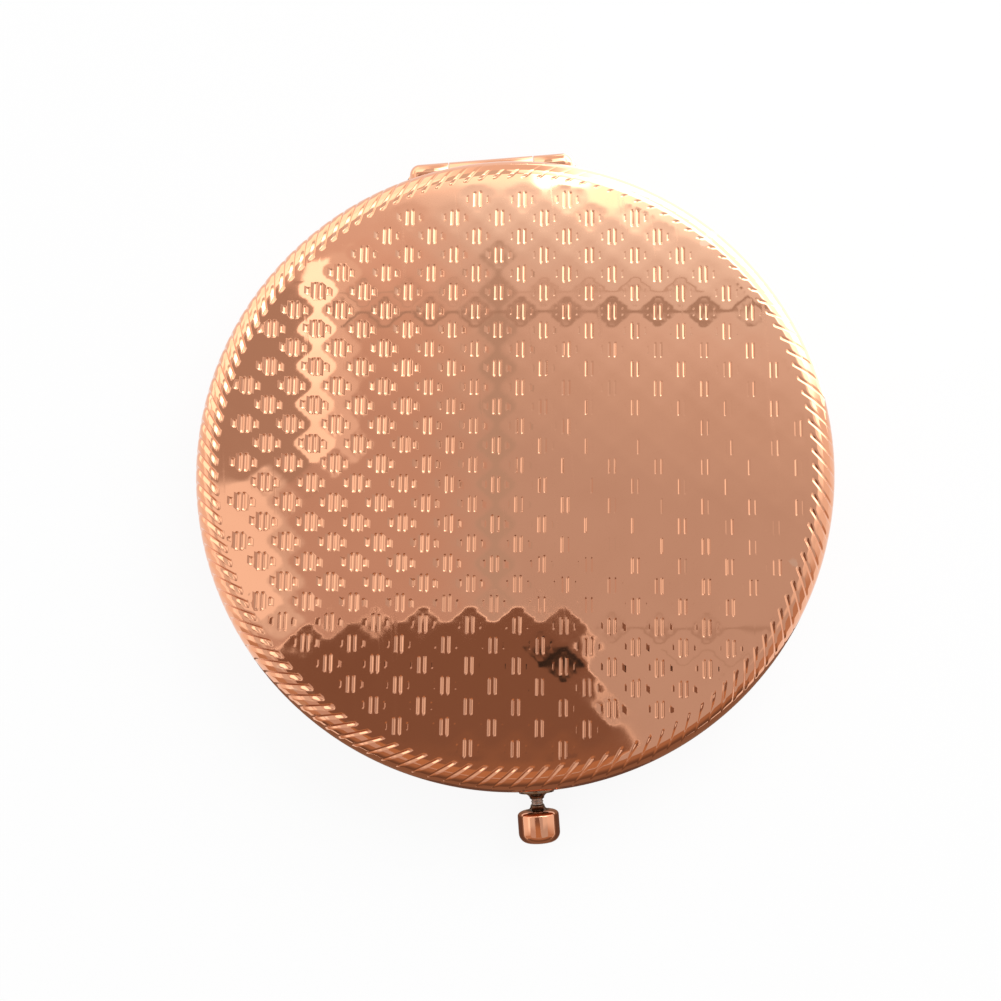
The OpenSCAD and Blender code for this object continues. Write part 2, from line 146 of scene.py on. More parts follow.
# Share of the darker tone painted into the pressed grooves and dimples as shade, by their depth
GROOVE_SHADE_TINT = 0.12
SMUDGE_TINT = 0.10
EDGE_TINT = 0.25
SCRATCH_DULLING = 0.12
WAVE_HEIGHT = 5.0
BARE_EDGE = (1.0, 0.80, 0.62, 1.0)
DUST = (0.72, 0.70, 0.66, 1.0)
PALE_FIBRE = (0.36, 0.33, 0.30, 1.0)
DARK_FIBRE = (0.15, 0.14, 0.13, 1.0)


def opaque(tone):
    """A colour with full alpha"""
    return (*tone, 1.0)


def fill(tree, made, inputs):
    """Sets or links the inputs of a node"""
    for name, value in inputs.items():
        if isinstance(value, bpy.types.NodeSocket):
            tree.links.new(value, made.inputs[name])
        else:
            made.inputs[name].default_value = value


def node(tree, kind, inputs=None, **settings):
    """Adds a node, sets its options and fills its inputs"""
    made = tree.nodes.new(kind)
    for name, value in settings.items():
        setattr(made, name, value)
    fill(tree, made, inputs or {})
    return made


def math_node(tree, operation, first, second):
    """Result of an operation on two values"""
    return node(tree, "ShaderNodeMath", {0: first, 1: second}, operation=operation).outputs[0]


def vector_node(tree, operation, first, second):
    """Result of an operation on two vectors"""
    return node(tree, "ShaderNodeVectorMath", {0: first, 1: second}, operation=operation).outputs[0]


def times(tree, first, second):
    """Product of two values"""
    return math_node(tree, "MULTIPLY", first, second)


def plus(tree, first, second):
    """Sum of two values"""
    return math_node(tree, "ADD", first, second)


def remap(tree, value, low, high):
    """Smooth step of a value, 0 at low and 1 at high"""
    inputs = {"Value": value, "From Min": low, "From Max": high}
    return node(tree, "ShaderNodeMapRange", inputs, interpolation_type="SMOOTHSTEP").outputs["Result"]


def mix(tree, mask, under, over, blend_type="MIX"):
    """One colour over another by a mask"""
    inputs = {0: mask, 6: under, 7: over}
    return node(tree, "ShaderNodeMix", inputs, data_type="RGBA", blend_type=blend_type).outputs[2]


def noise(tree, where, scale, detail, roughness=0.5, distortion=0.0):
    """Noise texture, its scale in cells per metre"""
    inputs = {"Vector": where, "Scale": scale, "Detail": detail}
    return node(tree, "ShaderNodeTexNoise", {**inputs, "Roughness": roughness, "Distortion": distortion})


def relief(tree, height, strength, distance):
    """Normal of a fine relief"""
    inputs = {"Height": height, "Strength": strength, "Distance": distance}
    return node(tree, "ShaderNodeBump", inputs).outputs["Normal"]


def split(tree, where):
    """The three coordinates of a place"""
    return node(tree, "ShaderNodeSeparateXYZ", {0: where}).outputs


# Effects that several materials share


def hairline_scratches(tree, given):
    """Fine hairline scratches in three directions, as a mask"""
    masks = []
    for turn, stretch in SCRATCH_WAYS:
        inputs = {"Vector": given["Vector"], "Rotation": (0.0, 0.0, turn), "Scale": (1.0, stretch, 1.0)}
        lines = noise(tree, node(tree, "ShaderNodeMapping", inputs).outputs[0], given["Scale"], 2.0, 0.6)
        masks.append(remap(tree, lines.outputs[0], 0.66, 0.74))
    both = math_node(tree, "MAXIMUM", masks[0], masks[1])
    return {"Mask": times(tree, math_node(tree, "MAXIMUM", both, masks[2]), given["Amount"])}


def handling_smudges(tree, given):
    """Soft uneven patches where a hand has dulled the polish, and the slight waves of the sheet"""
    broad = noise(tree, given["Vector"], given["Scale"], 5.0, 0.55, 0.4)
    waves = noise(tree, given["Vector"], 260.0, 1.0, 0.4)
    return {"Mask": remap(tree, broad.outputs[0], 0.42, 0.72), "Waves": waves.outputs[0]}


def wear_and_groove_shade(tree, given):
    """Plating that is thinned on edges and dulled under smudges, with painted shade darkening the pressed
    hollows by their depth
    """
    dull = mix(tree, times(tree, given["Hollow"], GROOVE_SHADE_TINT), given["Color"], given["Hollow Color"])
    patchy = mix(tree, times(tree, given["Smudge"], SMUDGE_TINT), dull, given["Hollow Color"])
    edge = remap(tree, given["Pointiness"], 0.53, 0.62)
    return {"Color": mix(tree, times(tree, edge, EDGE_TINT), patchy, BARE_EDGE)}


EFFECTS = {
    "hairline_scratches": (
        hairline_scratches,
        {"Vector": ("Vector", None), "Scale": ("Float", 400.0), "Amount": ("Float", 0.5)},
        {"Mask": "Float"},
    ),
    "handling_smudges": (
        handling_smudges,
        {"Vector": ("Vector", None), "Scale": ("Float", 90.0)},
        {"Mask": "Float", "Waves": "Float"},
    ),
    "wear_and_groove_shade": (
        wear_and_groove_shade,
        {"Color": ("Color", None), "Hollow Color": ("Color", None), "Pointiness": ("Float", 0.5),
         "Hollow": ("Float", 0.0), "Smudge": ("Float", 0.0)},
        {"Color": "Color"},
    ),
}


def effect_group(name):
    """The node group of an effect, with named inputs and outputs, built on first use"""
    tree = bpy.data.node_groups.get(name)
    if tree:
        return tree
    wire, inputs, outputs = EFFECTS[name]
    tree = bpy.data.node_groups.new(name, "ShaderNodeTree")
    for title, (kind, default) in inputs.items():
        socket = tree.interface.new_socket(title, in_out="INPUT", socket_type=f"NodeSocket{kind}")
        if default is not None:
            socket.default_value = default
    for title, kind in outputs.items():
        tree.interface.new_socket(title, in_out="OUTPUT", socket_type=f"NodeSocket{kind}")
    given, result = tree.nodes.new("NodeGroupInput"), tree.nodes.new("NodeGroupOutput")
    fill(tree, result, wire(tree, given.outputs))
    return tree


def effect(tree, name, inputs):
    """Places an effect's group in a material, with that material's own values"""
    return node(tree, "ShaderNodeGroup", inputs, node_tree=effect_group(name)).outputs


# Materials


def start_material(name):
    """A material with its tree, its Principled shader and the Object coordinates"""
    material = bpy.data.materials.new(name)
    material.use_nodes = True
    tree = material.node_tree
    where = tree.nodes.new("ShaderNodeTexCoord").outputs["Object"]
    return material, tree, tree.nodes["Principled BSDF"], where


def worn_and_shaded_colour(tree, base, hollow_colour, smudge, hollow=0.0):
    """Colour of the plating with its wear, and painted shade in the pressed hollows"""
    pointiness = tree.nodes.new("ShaderNodeNewGeometry").outputs["Pointiness"]
    inputs = {"Color": opaque(base), "Hollow Color": opaque(hollow_colour), "Pointiness": pointiness,
              "Hollow": hollow, "Smudge": smudge}
    return effect(tree, "wear_and_groove_shade", inputs)["Color"]


def metal_material(name, base, hollow_colour, roughness, dulling, scratch_amount, scratch_scale, depth):
    """Plated metal: colour with wear and painted shade in the pressed hollows, roughness with smudges and
    hairlines, and a fine relief
    """
    material, tree, shader, where = start_material(name)
    smudge = effect(tree, "handling_smudges", {"Vector": where})
    hairlines = {"Vector": where, "Scale": scratch_scale, "Amount": scratch_amount}
    scratch = effect(tree, "hairline_scratches", hairlines)
    # The pressed depth drives the painted shade in the grooves and dimples
    pressed = node(tree, "ShaderNodeAttribute", attribute_name="pressed").outputs["Fac"]
    dull = times(tree, smudge["Mask"], dulling)
    marked = times(tree, scratch["Mask"], SCRATCH_DULLING)
    height = math_node(tree, "SUBTRACT", times(tree, smudge["Waves"], WAVE_HEIGHT), scratch["Mask"])
    fill(tree, shader, {
        "Base Color": worn_and_shaded_colour(tree, base, hollow_colour, smudge["Mask"], pressed),
        "Roughness": plus(tree, plus(tree, dull, roughness), marked),
        "Normal": relief(tree, height, 1.0, depth),
        "Metallic": 1.0,
    })
    return material


def brushed_material(name, base, hollow_colour, roughness, depth):
    """Satin plate with fine turning marks round the middle of the compact"""
    material, tree, shader, where = start_material(name)
    axes = split(tree, where)
    flat = node(tree, "ShaderNodeCombineXYZ", {"X": axes["X"], "Y": axes["Y"]})
    far = node(tree, "ShaderNodeVectorMath", {0: flat.outputs[0]}, operation="LENGTH").outputs["Value"]
    ring = node(tree, "ShaderNodeCombineXYZ", {"X": far, "Y": times(tree, axes["X"], 0.02), "Z": axes["Z"]})
    turned = noise(tree, ring.outputs[0], 6000.0, 3.0, 0.7).outputs[0]
    smudge = effect(tree, "handling_smudges", {"Vector": where, "Scale": 120.0})["Mask"]
    rough = plus(tree, times(tree, turned, 0.16), roughness)
    fill(tree, shader, {
        "Base Color": worn_and_shaded_colour(tree, base, hollow_colour, smudge),
        "Roughness": plus(tree, rough, times(tree, smudge, 0.06)),
        "Normal": relief(tree, turned, 0.6, depth),
        "Metallic": 1.0,
    })
    return material


def polished_plate(name):
    """Polished rose gold of the shells, the hinge, the knob and the rivets"""
    return metal_material(name, finish().rose_gold, finish().rose_smudge_and_shade, roughness=0.030, dulling=0.024,
                          scratch_amount=0.5, scratch_scale=900.0, depth=0.0010 * MM)


def satin_plate(name):
    """Satin rose gold of the ring frames and the bracket"""
    look = finish()
    return brushed_material(name, look.inner_gold, look.rose_smudge_and_shade, roughness=0.16, depth=0.004 * MM)


def drawn_steel(name):
    """Steel of the stem, the spring, the pin and the catch"""
    return metal_material(name, finish().steel, (0.16, 0.12, 0.10), roughness=0.22, dulling=0.12,
                          scratch_amount=0.8, scratch_scale=1800.0, depth=0.003 * MM)


def painted_shadow_plate(name):
    """Near-black plating that paints the shadow on the flares and the hinge feet"""
    return metal_material(name, (0.17, 0.105, 0.07), (0.05, 0.035, 0.03), roughness=0.20, dulling=0.12,
                          scratch_amount=0.6, scratch_scale=1500.0, depth=0.002 * MM)


def silvered_mirror(name):
    """Silvered glass with a few specks of dust and the trace of a wipe"""
    material, tree, shader, where = start_material(name)
    smudge = effect(tree, "handling_smudges", {"Vector": where, "Scale": 60.0})["Mask"]
    cells = {"Vector": where, "Scale": 520.0, "Randomness": 1.0}
    specks = node(tree, "ShaderNodeTexVoronoi", cells, feature="F1").outputs["Distance"]
    chosen = noise(tree, where, 900.0, 1.0).outputs[0]
    dust = times(tree, remap(tree, specks, 0.10, 0.05), remap(tree, chosen, 0.60, 0.66))
    rough = plus(tree, times(tree, smudge, 0.03), 0.012)
    fill(tree, shader, {
        "Base Color": mix(tree, times(tree, dust, 0.5), opaque(finish().mirror), DUST),
        "Roughness": plus(tree, rough, times(tree, dust, 0.4)),
        "Metallic": 1.0,
        "Coat Weight": 0.6,
        "Coat Roughness": 0.02,
    })
    return material


def grey_card(name):
    """Grey backing card with short fibres"""
    material, tree, shader, where = start_material(name)
    fibres = noise(tree, where, 2600.0, 6.0, 0.75, 1.2).outputs[0]
    cloud = noise(tree, where, 300.0, 2.0).outputs[0]
    felt = mix(tree, remap(tree, fibres, 0.35, 0.7), opaque(finish().card), PALE_FIBRE)
    fill(tree, shader, {
        "Base Color": mix(tree, times(tree, cloud, 0.3), felt, DARK_FIBRE),
        "Roughness": 0.85,
        "Normal": relief(tree, fibres, 0.7, 0.02 * MM),
    })
    return material


SLOT_FINISHES = {
    "rose_gold_plate": ("polished_rose_gold", polished_plate),
    "inner_plate": ("satin_rose_gold", satin_plate),
    "steel": ("drawn_steel", drawn_steel),
    "mirror_glass": ("silvered_mirror", silvered_mirror),
    "backing_card": ("grey_card", grey_card),
}


def once(name, make):
    """A material by its name, built on first use"""
    return bpy.data.materials.get(name) or make(name)


def finish_of(slot):
    """The material of one of the record's slots"""
    return once(*SLOT_FINISHES[slot])


# Shapes

Spindle = namedtuple("Spindle", "axis centre place")

# A half section is drawn as (radius, distance): towards the front, along the hinge, or up
STEM = Spindle((0, 1, 0), tuple(STEM_AXIS), lambda r, d: (r, -d, STEM_AXIS.z))
HINGE = Spindle((1, 0, 0), tuple(HINGE_AXIS), lambda r, d: (d, HINGE_AXIS.y, HINGE_AXIS.z + r))
UPRIGHT = Spindle((0, 0, 1), (0, 0, 0), lambda r, h: (r, 0.0, h))

WELD = 0.001 * MM
SHARP = math.radians(30.0)
WIDE_STEPS = 72
SLIM_STEPS = 40


def outward(bm):
    """Points all faces outwards"""
    bmesh.ops.recalc_face_normals(bm, faces=bm.faces[:])


def only(kind, geom):
    """The vertices or the faces among an operator's results"""
    return [g for g in geom if isinstance(g, kind)]


def open_edges(bm, fits=lambda co: True):
    """Edges with a face on one side only, whose ends both fit"""
    return [e for e in bm.edges if e.is_boundary and all(fits(v.co) for v in e.verts)]


def turn_profile(bm, spindle, points, steps, closed=False):
    """Spins a half section a whole turn about a spindle"""
    verts = [bm.verts.new(spindle.place(*p)) for p in points]
    pairs = list(zip(verts, verts[1:])) + ([(verts[-1], verts[0])] if closed else [])
    edges = [bm.edges.new(p) for p in pairs]
    bmesh.ops.spin(bm, geom=verts + edges, cent=spindle.centre, axis=spindle.axis, angle=WHOLE_TURN,
                   steps=steps, use_merge=True)
    bmesh.ops.remove_doubles(bm, verts=bm.verts[:], dist=0.2 * WELD)


def merge_into(bm, other):
    """Adds another mesh to this one"""
    other.normal_update()
    spare = bpy.data.meshes.new("spare")
    other.to_mesh(spare)
    other.free()
    bm.from_mesh(spare)
    bpy.data.meshes.remove(spare)


def add_tube(bm, spindle, profile, steps):
    """Adds a solid turned from a closed half section"""
    tube = bmesh.new()
    turn_profile(tube, spindle, profile, steps, closed=True)
    outward(tube)
    merge_into(bm, tube)


def ease_edges(bm, width, segments=2):
    """Bevels the sharp edges"""
    edges = [e for e in bm.edges if e.is_manifold and e.calc_face_angle(0.0) > SHARP]
    if edges:
        bmesh.ops.bevel(bm, geom=edges, offset=width, offset_type="OFFSET", affect="EDGES", segments=segments,
                        profile=0.5, material=-1, clamp_overlap=True)


def arc(centre_r, centre_h, radius, start, stop, steps):
    """Points of an arc in a half section, as (radius, height), from one angle to another in degrees"""
    angles = [math.radians(start + (stop - start) * k / steps) for k in range(steps + 1)]
    return [(centre_r + radius * math.cos(a), centre_h + radius * math.sin(a)) for a in angles]


def add_block(bm, low, high, ease=0.06 * MM):
    """A box with eased edges, added to a mesh"""
    low, high = Vector(low), Vector(high)
    box = bmesh.new()
    place = Matrix.Translation((low + high) / 2) @ Matrix.Diagonal((*(high - low), 1.0))
    bmesh.ops.create_cube(box, size=1.0, matrix=place)
    ease_edges(box, ease)
    merge_into(bm, box)


def add_mirrored(bm):
    """Adds the mirror image of everything on the other side of the YZ plane"""
    copy = bmesh.ops.duplicate(bm, geom=bm.faces[:] + bm.edges[:] + bm.verts[:])["geom"]
    bmesh.ops.scale(bm, vec=(-1, 1, 1), verts=only(bmesh.types.BMVert, copy))
    bmesh.ops.reverse_faces(bm, faces=only(bmesh.types.BMFace, copy))


def turn_over(bm, s):
    """Turns a piece that is drawn for the base over into the lid"""
    bmesh.ops.scale(bm, vec=(1, 1, -1), verts=bm.verts[:])
    bmesh.ops.translate(bm, vec=(0, 0, s.closed_h), verts=bm.verts[:])
    bmesh.ops.reverse_faces(bm, faces=bm.faces[:])


def eased_copy(node_name, ease):
    """A merged copy of a CAD node's mesh with eased edges"""
    bm = bmesh.new()
    bm.from_mesh(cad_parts[node_name].data)
    bmesh.ops.remove_doubles(bm, verts=bm.verts[:], dist=WELD)
    bmesh.ops.dissolve_limit(bm, angle_limit=math.radians(1.0), use_dissolve_boundaries=False,
                             verts=bm.verts[:], edges=bm.edges[:])
    bmesh.ops.dissolve_degenerate(bm, dist=WELD, edges=bm.edges[:])
    ease_edges(bm, ease)
    return bm


def link_mesh(name, bm):
    """Makes a finished mesh an object of the scene"""
    mesh = bpy.data.meshes.new(name)
    bm.to_mesh(mesh)
    bm.free()
    made = bpy.data.objects.new(name, mesh)
    bpy.context.scene.collection.objects.link(made)
    return made


def add_piece(name, bm, body, slot, nodes, weighted=True):
    """Makes a finished mesh an object that stands for CAD nodes and moves with their body"""
    piece = link_mesh(name, bm)
    piece.data.materials.append(finish_of(slot))
    piece.data.shade_smooth()
    if weighted:
        normals = piece.modifiers.new("even_shading", "WEIGHTED_NORMAL")
        normals.mode = "FACE_AREA"
        normals.keep_sharp = True
    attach(piece, body)
    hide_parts(*nodes)
    return piece


def darken(piece, shadowed):
    """Gives the faces where shadow falls the near-black plating as painted shadow, chosen by their centres"""
    piece.data.materials.append(once("painted_shadow_flare", painted_shadow_plate))
    for face in piece.data.polygons:
        if shadowed(face.center):
            face.material_index = 1


# Relief of the lid

# Distance from the motif's middle, half length and half width in millimetres, and how fast a groove wears
INNER_GROOVE = (0.29, 0.70, 0.21, 1.0)
OUTER_GROOVE = (1.035, 0.24, 0.175, 3.0)
DIMPLE_R = 0.62 * MM
MOTIF_R = 0.75 * MM
COLUMNS_PER_MOTIF = 14
LINES_PER_ROW = 5
ROPE_START = 0.12 * MM
ROPE_END = 3.05 * MM
ROPE_FADE = 3.95 * MM
ROPE_HALF = 0.31 * MM
ROPE_LINE = 3.5 / 8
ROPE_CURVE = 1.35
# Width of a stroke's groove on its steep and its gentle side, as shares of its half width
ROPE_STEEP_SHARE = 0.45
ROPE_GENTLE_SHARE = 1.55
ROPE_STEPS = 8
SAME_HEIGHT = 1e-7
SAME_RADIUS = 1e-6
FACE_STEP = 0.01 * MM
RIM_STEP = 0.004 * MM


def smooth_step(value, low, high):
    """Smooth step of an array, 0 at low and 1 at high"""
    t = np.clip((value - low) / (high - low), 0, 1)
    return t * t * (3 - 2 * t)


def to_rows(x, y, s):
    """Coordinates along and across the rows of motifs, from one motif's centre"""
    c, n = math.cos(s.motif_turn), math.sin(s.motif_turn)
    dx, dy = x - s.motif_x, y - s.motif_y
    return c * dx + n * dy, c * dy - n * dx


def from_rows(u, v, s):
    """Place on the lid of coordinates along and across the rows"""
    c, n = math.cos(s.motif_turn), math.sin(s.motif_turn)
    return s.motif_x + c * u - n * v, s.motif_y + n * u + c * v


def uneven(m, n, seed):
    """A fixed number from 0 to 1 for each groove of each motif"""
    value = np.sin(m * 12.9898 + n * 78.233 + seed * 37.719) * 43758.5453
    return value - np.floor(value)


def trough(distance):
    """Depth of a pressed groove at a distance from its line, as shares of its depth and of its half width"""
    wall = 1 - np.sqrt(distance ** 2 + 0.006)
    return 0.5 * (wall + np.sqrt(wall ** 2 + 0.010))


def motif_wear(cx, cy):
    """How fresh a motif still is, and how readily its grooves are lost, by its place on the lid"""
    waist = np.exp(-((cy + 1 * MM) / (13 * MM)) ** 2)
    from_left = smooth_step(cx, -17 * MM, 1 * MM) * (0.40 + 0.20 * waist)
    at_back = 0.25 * smooth_step(cy + 0.3 * cx, 8 * MM, 22 * MM)
    at_front = 0.45 * smooth_step(-cy, 11 * MM, 15 * MM) * (1 - smooth_step(cx, 5 * MM, 9 * MM))
    at_right = 0.40 * smooth_step(cx, 2 * MM, 10 * MM) * waist
    fresh = (1 - from_left) * (1 - at_back) * (1 - at_front) * (1 - at_right)
    return fresh, smooth_step(cx, -6 * MM, 8 * MM) * waist


def motif_press(x, y, s):
    """How deep the motifs are pressed at points of the lid's face"""
    u, v = to_rows(x, y, s)
    nearest = np.round(-v / s.row_pitch)
    soft = np.zeros_like(u)
    cut = np.zeros_like(u)
    for step in (-1, 0, 1):
        row = nearest + step
        shift = np.mod(row, 2) * s.motif_pitch / 2
        place = np.round((u - shift) / s.motif_pitch)
        du = u - shift - place * s.motif_pitch
        dv = v + row * s.row_pitch
        cx, cy = from_rows(place * s.motif_pitch + shift, -row * s.row_pitch, s)
        kept = np.hypot(cx, cy) < s.border_r - MOTIF_R
        fresh, lost = motif_wear(cx, cy)
        for centre, half, width, weak in (INNER_GROOVE, OUTER_GROOVE):
            for side in (-1, 1):
                vary = uneven(place * 2 + (row % 2), row, side * centre)
                gone = lost * (1 - smooth_step(vary, 0.3, 0.65))
                strength = fresh ** weak * (0.85 + 0.3 * vary) * (1 - gone)
                past = np.maximum(np.abs(dv) - half * MM * (0.94 + 0.10 * vary), 0)
                distance = np.hypot(du - side * centre * MM, past)
                cut += kept * strength * trough(distance / (width * MM * (0.45 + 0.55 * fresh)))
                soft += kept * np.exp(-(distance / DIMPLE_R) ** 2)
    border = 1 - smooth_step(np.hypot(x, y), s.border_r - 0.35 * MM, s.border_r - 0.05 * MM)
    return border * (s.groove_depth * cut + s.dimple_depth * (1 - np.exp(-1.1 * soft)))


def rope_share(run):
    """Share of a stroke's length that a run from the border has covered"""
    return np.clip((run - ROPE_START) / (ROPE_END - ROPE_START), 0, 1)


def rope_offset(run, s):
    """How far round a stroke has leaned at a run from the border"""
    return s.rope_lean * ((1 - rope_share(run)) ** ROPE_CURVE - 1)


def rope_press(angle, run, s):
    """How deep the rope border is pressed at an angle and at a run from the border, measured over the rim"""
    share = rope_share(run)
    phase = (angle - rope_offset(run, s)) * s.rope_count / WHOLE_TURN - ROPE_LINE
    phase -= np.round(phase)
    left = smooth_step(-np.cos(angle - math.radians(20)), -0.45, 0.5)
    low_right = 0.4 * smooth_step(-np.cos(angle - math.radians(130)), 0, 0.8)
    thin = smooth_step(-np.sin(angle), 0.72, 0.88)
    kept = (0.07 + 0.93 * np.maximum(left, low_right)) * (1 - 0.30 * thin)
    lean = s.rope_lean * ROPE_CURVE * (1 - share) ** (ROPE_CURVE - 1) * s.shell_r / (ROPE_END - ROPE_START)
    spacing = WHOLE_TURN * s.shell_r * 0.96 / s.rope_count / np.sqrt(1 + lean ** 2)
    across = np.abs(phase) * spacing / np.where(phase > 0, ROPE_GENTLE_SHARE, ROPE_STEEP_SHARE)
    past = np.maximum(ROPE_START + ROPE_HALF - run, 0)
    half = ROPE_HALF * (1 - 0.15 * share) * (0.4 + 0.6 * kept) * (1 - 0.40 * thin)
    ends = smooth_step(run, 0, ROPE_START) * (1 - smooth_step(run, ROPE_END, ROPE_FADE))
    return s.rope_depth * kept * trough(np.hypot(across, past) / half) * ends


def rim_point(angle, run, s):
    """Point of the outside of the lid at an angle and at a run from the border, pressed by the rope"""
    flat = s.shell_r - s.rim_round - s.border_r
    bend = np.clip((run - flat) / s.rim_round, 0, math.pi / 2)
    drop = np.maximum(run - flat - s.rim_round * math.pi / 2, 0)
    r = s.border_r + np.minimum(run, flat) + s.rim_round * np.sin(bend)
    z = s.closed_h - s.rim_round * (1 - np.cos(bend)) - drop
    depth = rope_press(angle, run, s)
    r, z = r - depth * np.sin(bend), z - depth * np.cos(bend)
    return np.stack([r * np.cos(angle), r * np.sin(angle), z], -1)


def press_face(points, s):
    """Depths and normals of the motifs at points of the flat face"""
    x, y, _ = points.T
    slopes = []
    for dx, dy in ((FACE_STEP, 0), (0, FACE_STEP)):
        slopes.append((motif_press(x - dx, y - dy, s) - motif_press(x + dx, y + dy, s)) / (2 * FACE_STEP))
    return motif_press(x, y, s), np.stack([-slopes[0], -slopes[1], np.ones_like(x)], -1)


def press_rim(points, s):
    """New places and normals of the points round the face: all lean with the rope, the outside is pressed"""
    x, y, z = points.T
    r, turn = np.hypot(x, y), np.mod(np.arctan2(y, x), WHOLE_TURN)
    bend_r, bend_z = s.shell_r - s.rim_round, s.closed_h - s.rim_round
    flat = z > s.closed_h - SAME_HEIGHT
    off_bend = np.abs(np.hypot(r - bend_r, z - bend_z) - s.rim_round)
    curved = (z >= bend_z - SAME_HEIGHT) & (off_bend < SAME_RADIUS) & (r > bend_r)
    wall = (z < bend_z) & (r > s.shell_r - SAME_RADIUS)
    outer = flat | curved | wall
    over_bend = bend_r - s.border_r + s.rim_round * np.arctan2(r - bend_r, z - bend_z)
    run = np.where(flat, r - s.border_r, over_bend)
    run = np.where(wall, bend_r - s.border_r + s.rim_round * math.pi / 2 + bend_z - z, run)
    angle = turn + np.where(outer, rope_offset(run, s), -s.rope_lean)
    placed = np.stack([r * np.cos(angle), r * np.sin(angle), z], -1)
    placed[outer] = rim_point(angle, run, s)[outer]
    swing = RIM_STEP / s.shell_r
    turned = rim_point(angle + swing, run, s) - rim_point(angle - swing, run, s)
    passed = rim_point(angle, run + RIM_STEP, s) - rim_point(angle, np.maximum(run - RIM_STEP, 0), s)
    shown = flat | curved | (wall & (z > s.closed_h / 2 + s.notch_rise - SAME_RADIUS))
    return placed, np.where(shown[:, None], np.cross(passed, turned), 0)


def press_lid(mesh, s):
    """Moves the vertices of the lid onto its relief and sets the shading normals from it"""
    count = len(mesh.vertices)
    points = np.empty(count * 3, np.float32)
    mesh.vertices.foreach_get("co", points)
    points = points.reshape(-1, 3).astype(float)
    normals, pressed = np.zeros((count, 3)), np.zeros(count)
    face = (points[:, 2] > s.closed_h - SAME_HEIGHT) & (np.hypot(*points[:, :2].T) < s.border_r - SAME_RADIUS)
    depth, normals[face] = press_face(points[face], s)
    points[face, 2] -= depth
    pressed[face] = depth / s.groove_depth
    points[~face], normals[~face] = press_rim(points[~face], s)
    mesh.vertices.foreach_set("co", points.astype(np.float32).ravel())
    mesh.update()
    long = np.linalg.norm(normals, axis=1)
    normals[long > 0] /= long[long > 0, None]
    mesh.normals_split_custom_set_from_vertices(normals.tolist())
    layer = mesh.attributes.new("pressed", "FLOAT", "POINT")
    layer.data.foreach_set("value", pressed.astype(np.float32))


def fine_grid(bm, s):
    """Flat grid under the motifs, finer where the grooves run, cut to the border"""
    column, line = s.motif_pitch / COLUMNS_PER_MOTIF, s.row_pitch / LINES_PER_ROW
    u, v = to_rows(0.0, 0.0, s)
    row = round(-v / s.row_pitch)
    shift = (row % 2) * s.motif_pitch / 2
    place = round((u - shift) / s.motif_pitch)
    cx, cy = from_rows(place * s.motif_pitch + shift, -row * s.row_pitch, s)
    reach = s.border_r + math.hypot(cx, cy)
    wide, high = 2 * math.ceil(reach / column) + 1, 2 * math.ceil(reach / line) + 1
    spread = Matrix.Diagonal((wide * column / 2, high * line / 2, 1, 1))
    spread = Matrix.Translation((cx, cy, s.closed_h)) @ Matrix.Rotation(s.motif_turn, 4, "Z") @ spread
    bmesh.ops.create_grid(bm, x_segments=wide, y_segments=high, size=1.0, matrix=spread)
    outside = [v for v in bm.verts if v.co.xy.length > s.border_r - 0.12 * MM]
    bmesh.ops.delete(bm, geom=outside, context="VERTS")
    along = Vector((math.cos(s.motif_turn), math.sin(s.motif_turn), 0))

    def cell(face):
        """Column and line of a face's cell, counted from the nearest motif"""
        centre = face.calc_center_median()
        u, v = to_rows(centre.x, centre.y, s)
        count = round(-v / s.row_pitch)
        offset = u - (count % 2) * s.motif_pitch / 2
        offset -= round(offset / s.motif_pitch) * s.motif_pitch
        return round(abs(offset) / column), round(abs(v + count * s.row_pitch) / line)

    def edges_of(faces, with_rows):
        """Edges of some faces that run with the rows, or the others"""
        chosen = []
        for edge in {e for f in faces for e in f.edges}:
            direction = (edge.verts[1].co - edge.verts[0].co).normalized()
            if (abs(direction.dot(along)) > 0.7) == with_rows:
                chosen.append(edge)
        return chosen

    # The inner grooves run in columns 0 and 1 and the outer ones in column 3
    grooves = [f for f in bm.faces if (k := cell(f))[0] < 2 or (k[0] == 3 and k[1] < 2)]
    bmesh.ops.subdivide_edges(bm, edges=edges_of(grooves, True), cuts=3, use_grid_fill=True)
    ends = [f for f in bm.faces if len(f.verts) == 4 and cell(f) in ((1, 2), (3, 1))]
    bmesh.ops.subdivide_edges(bm, edges=edges_of(ends, False), cuts=2, use_grid_fill=True)


# Pieces


def shell_profile(s, steps):
    """Half section of a shell, face up, from the border over the rim, round the lip and back inside"""
    top, seam = s.closed_h, (s.closed_h + s.seam_gap) / 2
    notch_z = (s.closed_h / 2) + s.notch_rise
    inner, curve = s.shell_r - s.sheet, s.rim_round - s.sheet
    bend_r, bend_z = s.shell_r - s.rim_round, top - s.rim_round
    lip = 0.1 * MM
    points = [(s.border_r + share * (bend_r - s.border_r), top) for share in (0.0, 0.25, 0.5, 0.75)]
    points += arc(bend_r, bend_z, s.rim_round, 90, 0, steps)
    points += [(s.shell_r, notch_z), (s.shell_r, seam + lip)]
    points += [(s.shell_r - 0.3 * lip, seam + 0.3 * lip), (s.shell_r - lip, seam)]
    points += [(inner + 0.5 * lip, seam), (inner, seam + lip), (inner, notch_z)]
    points += arc(bend_r, bend_z, curve, 0, 90, 3)
    return points


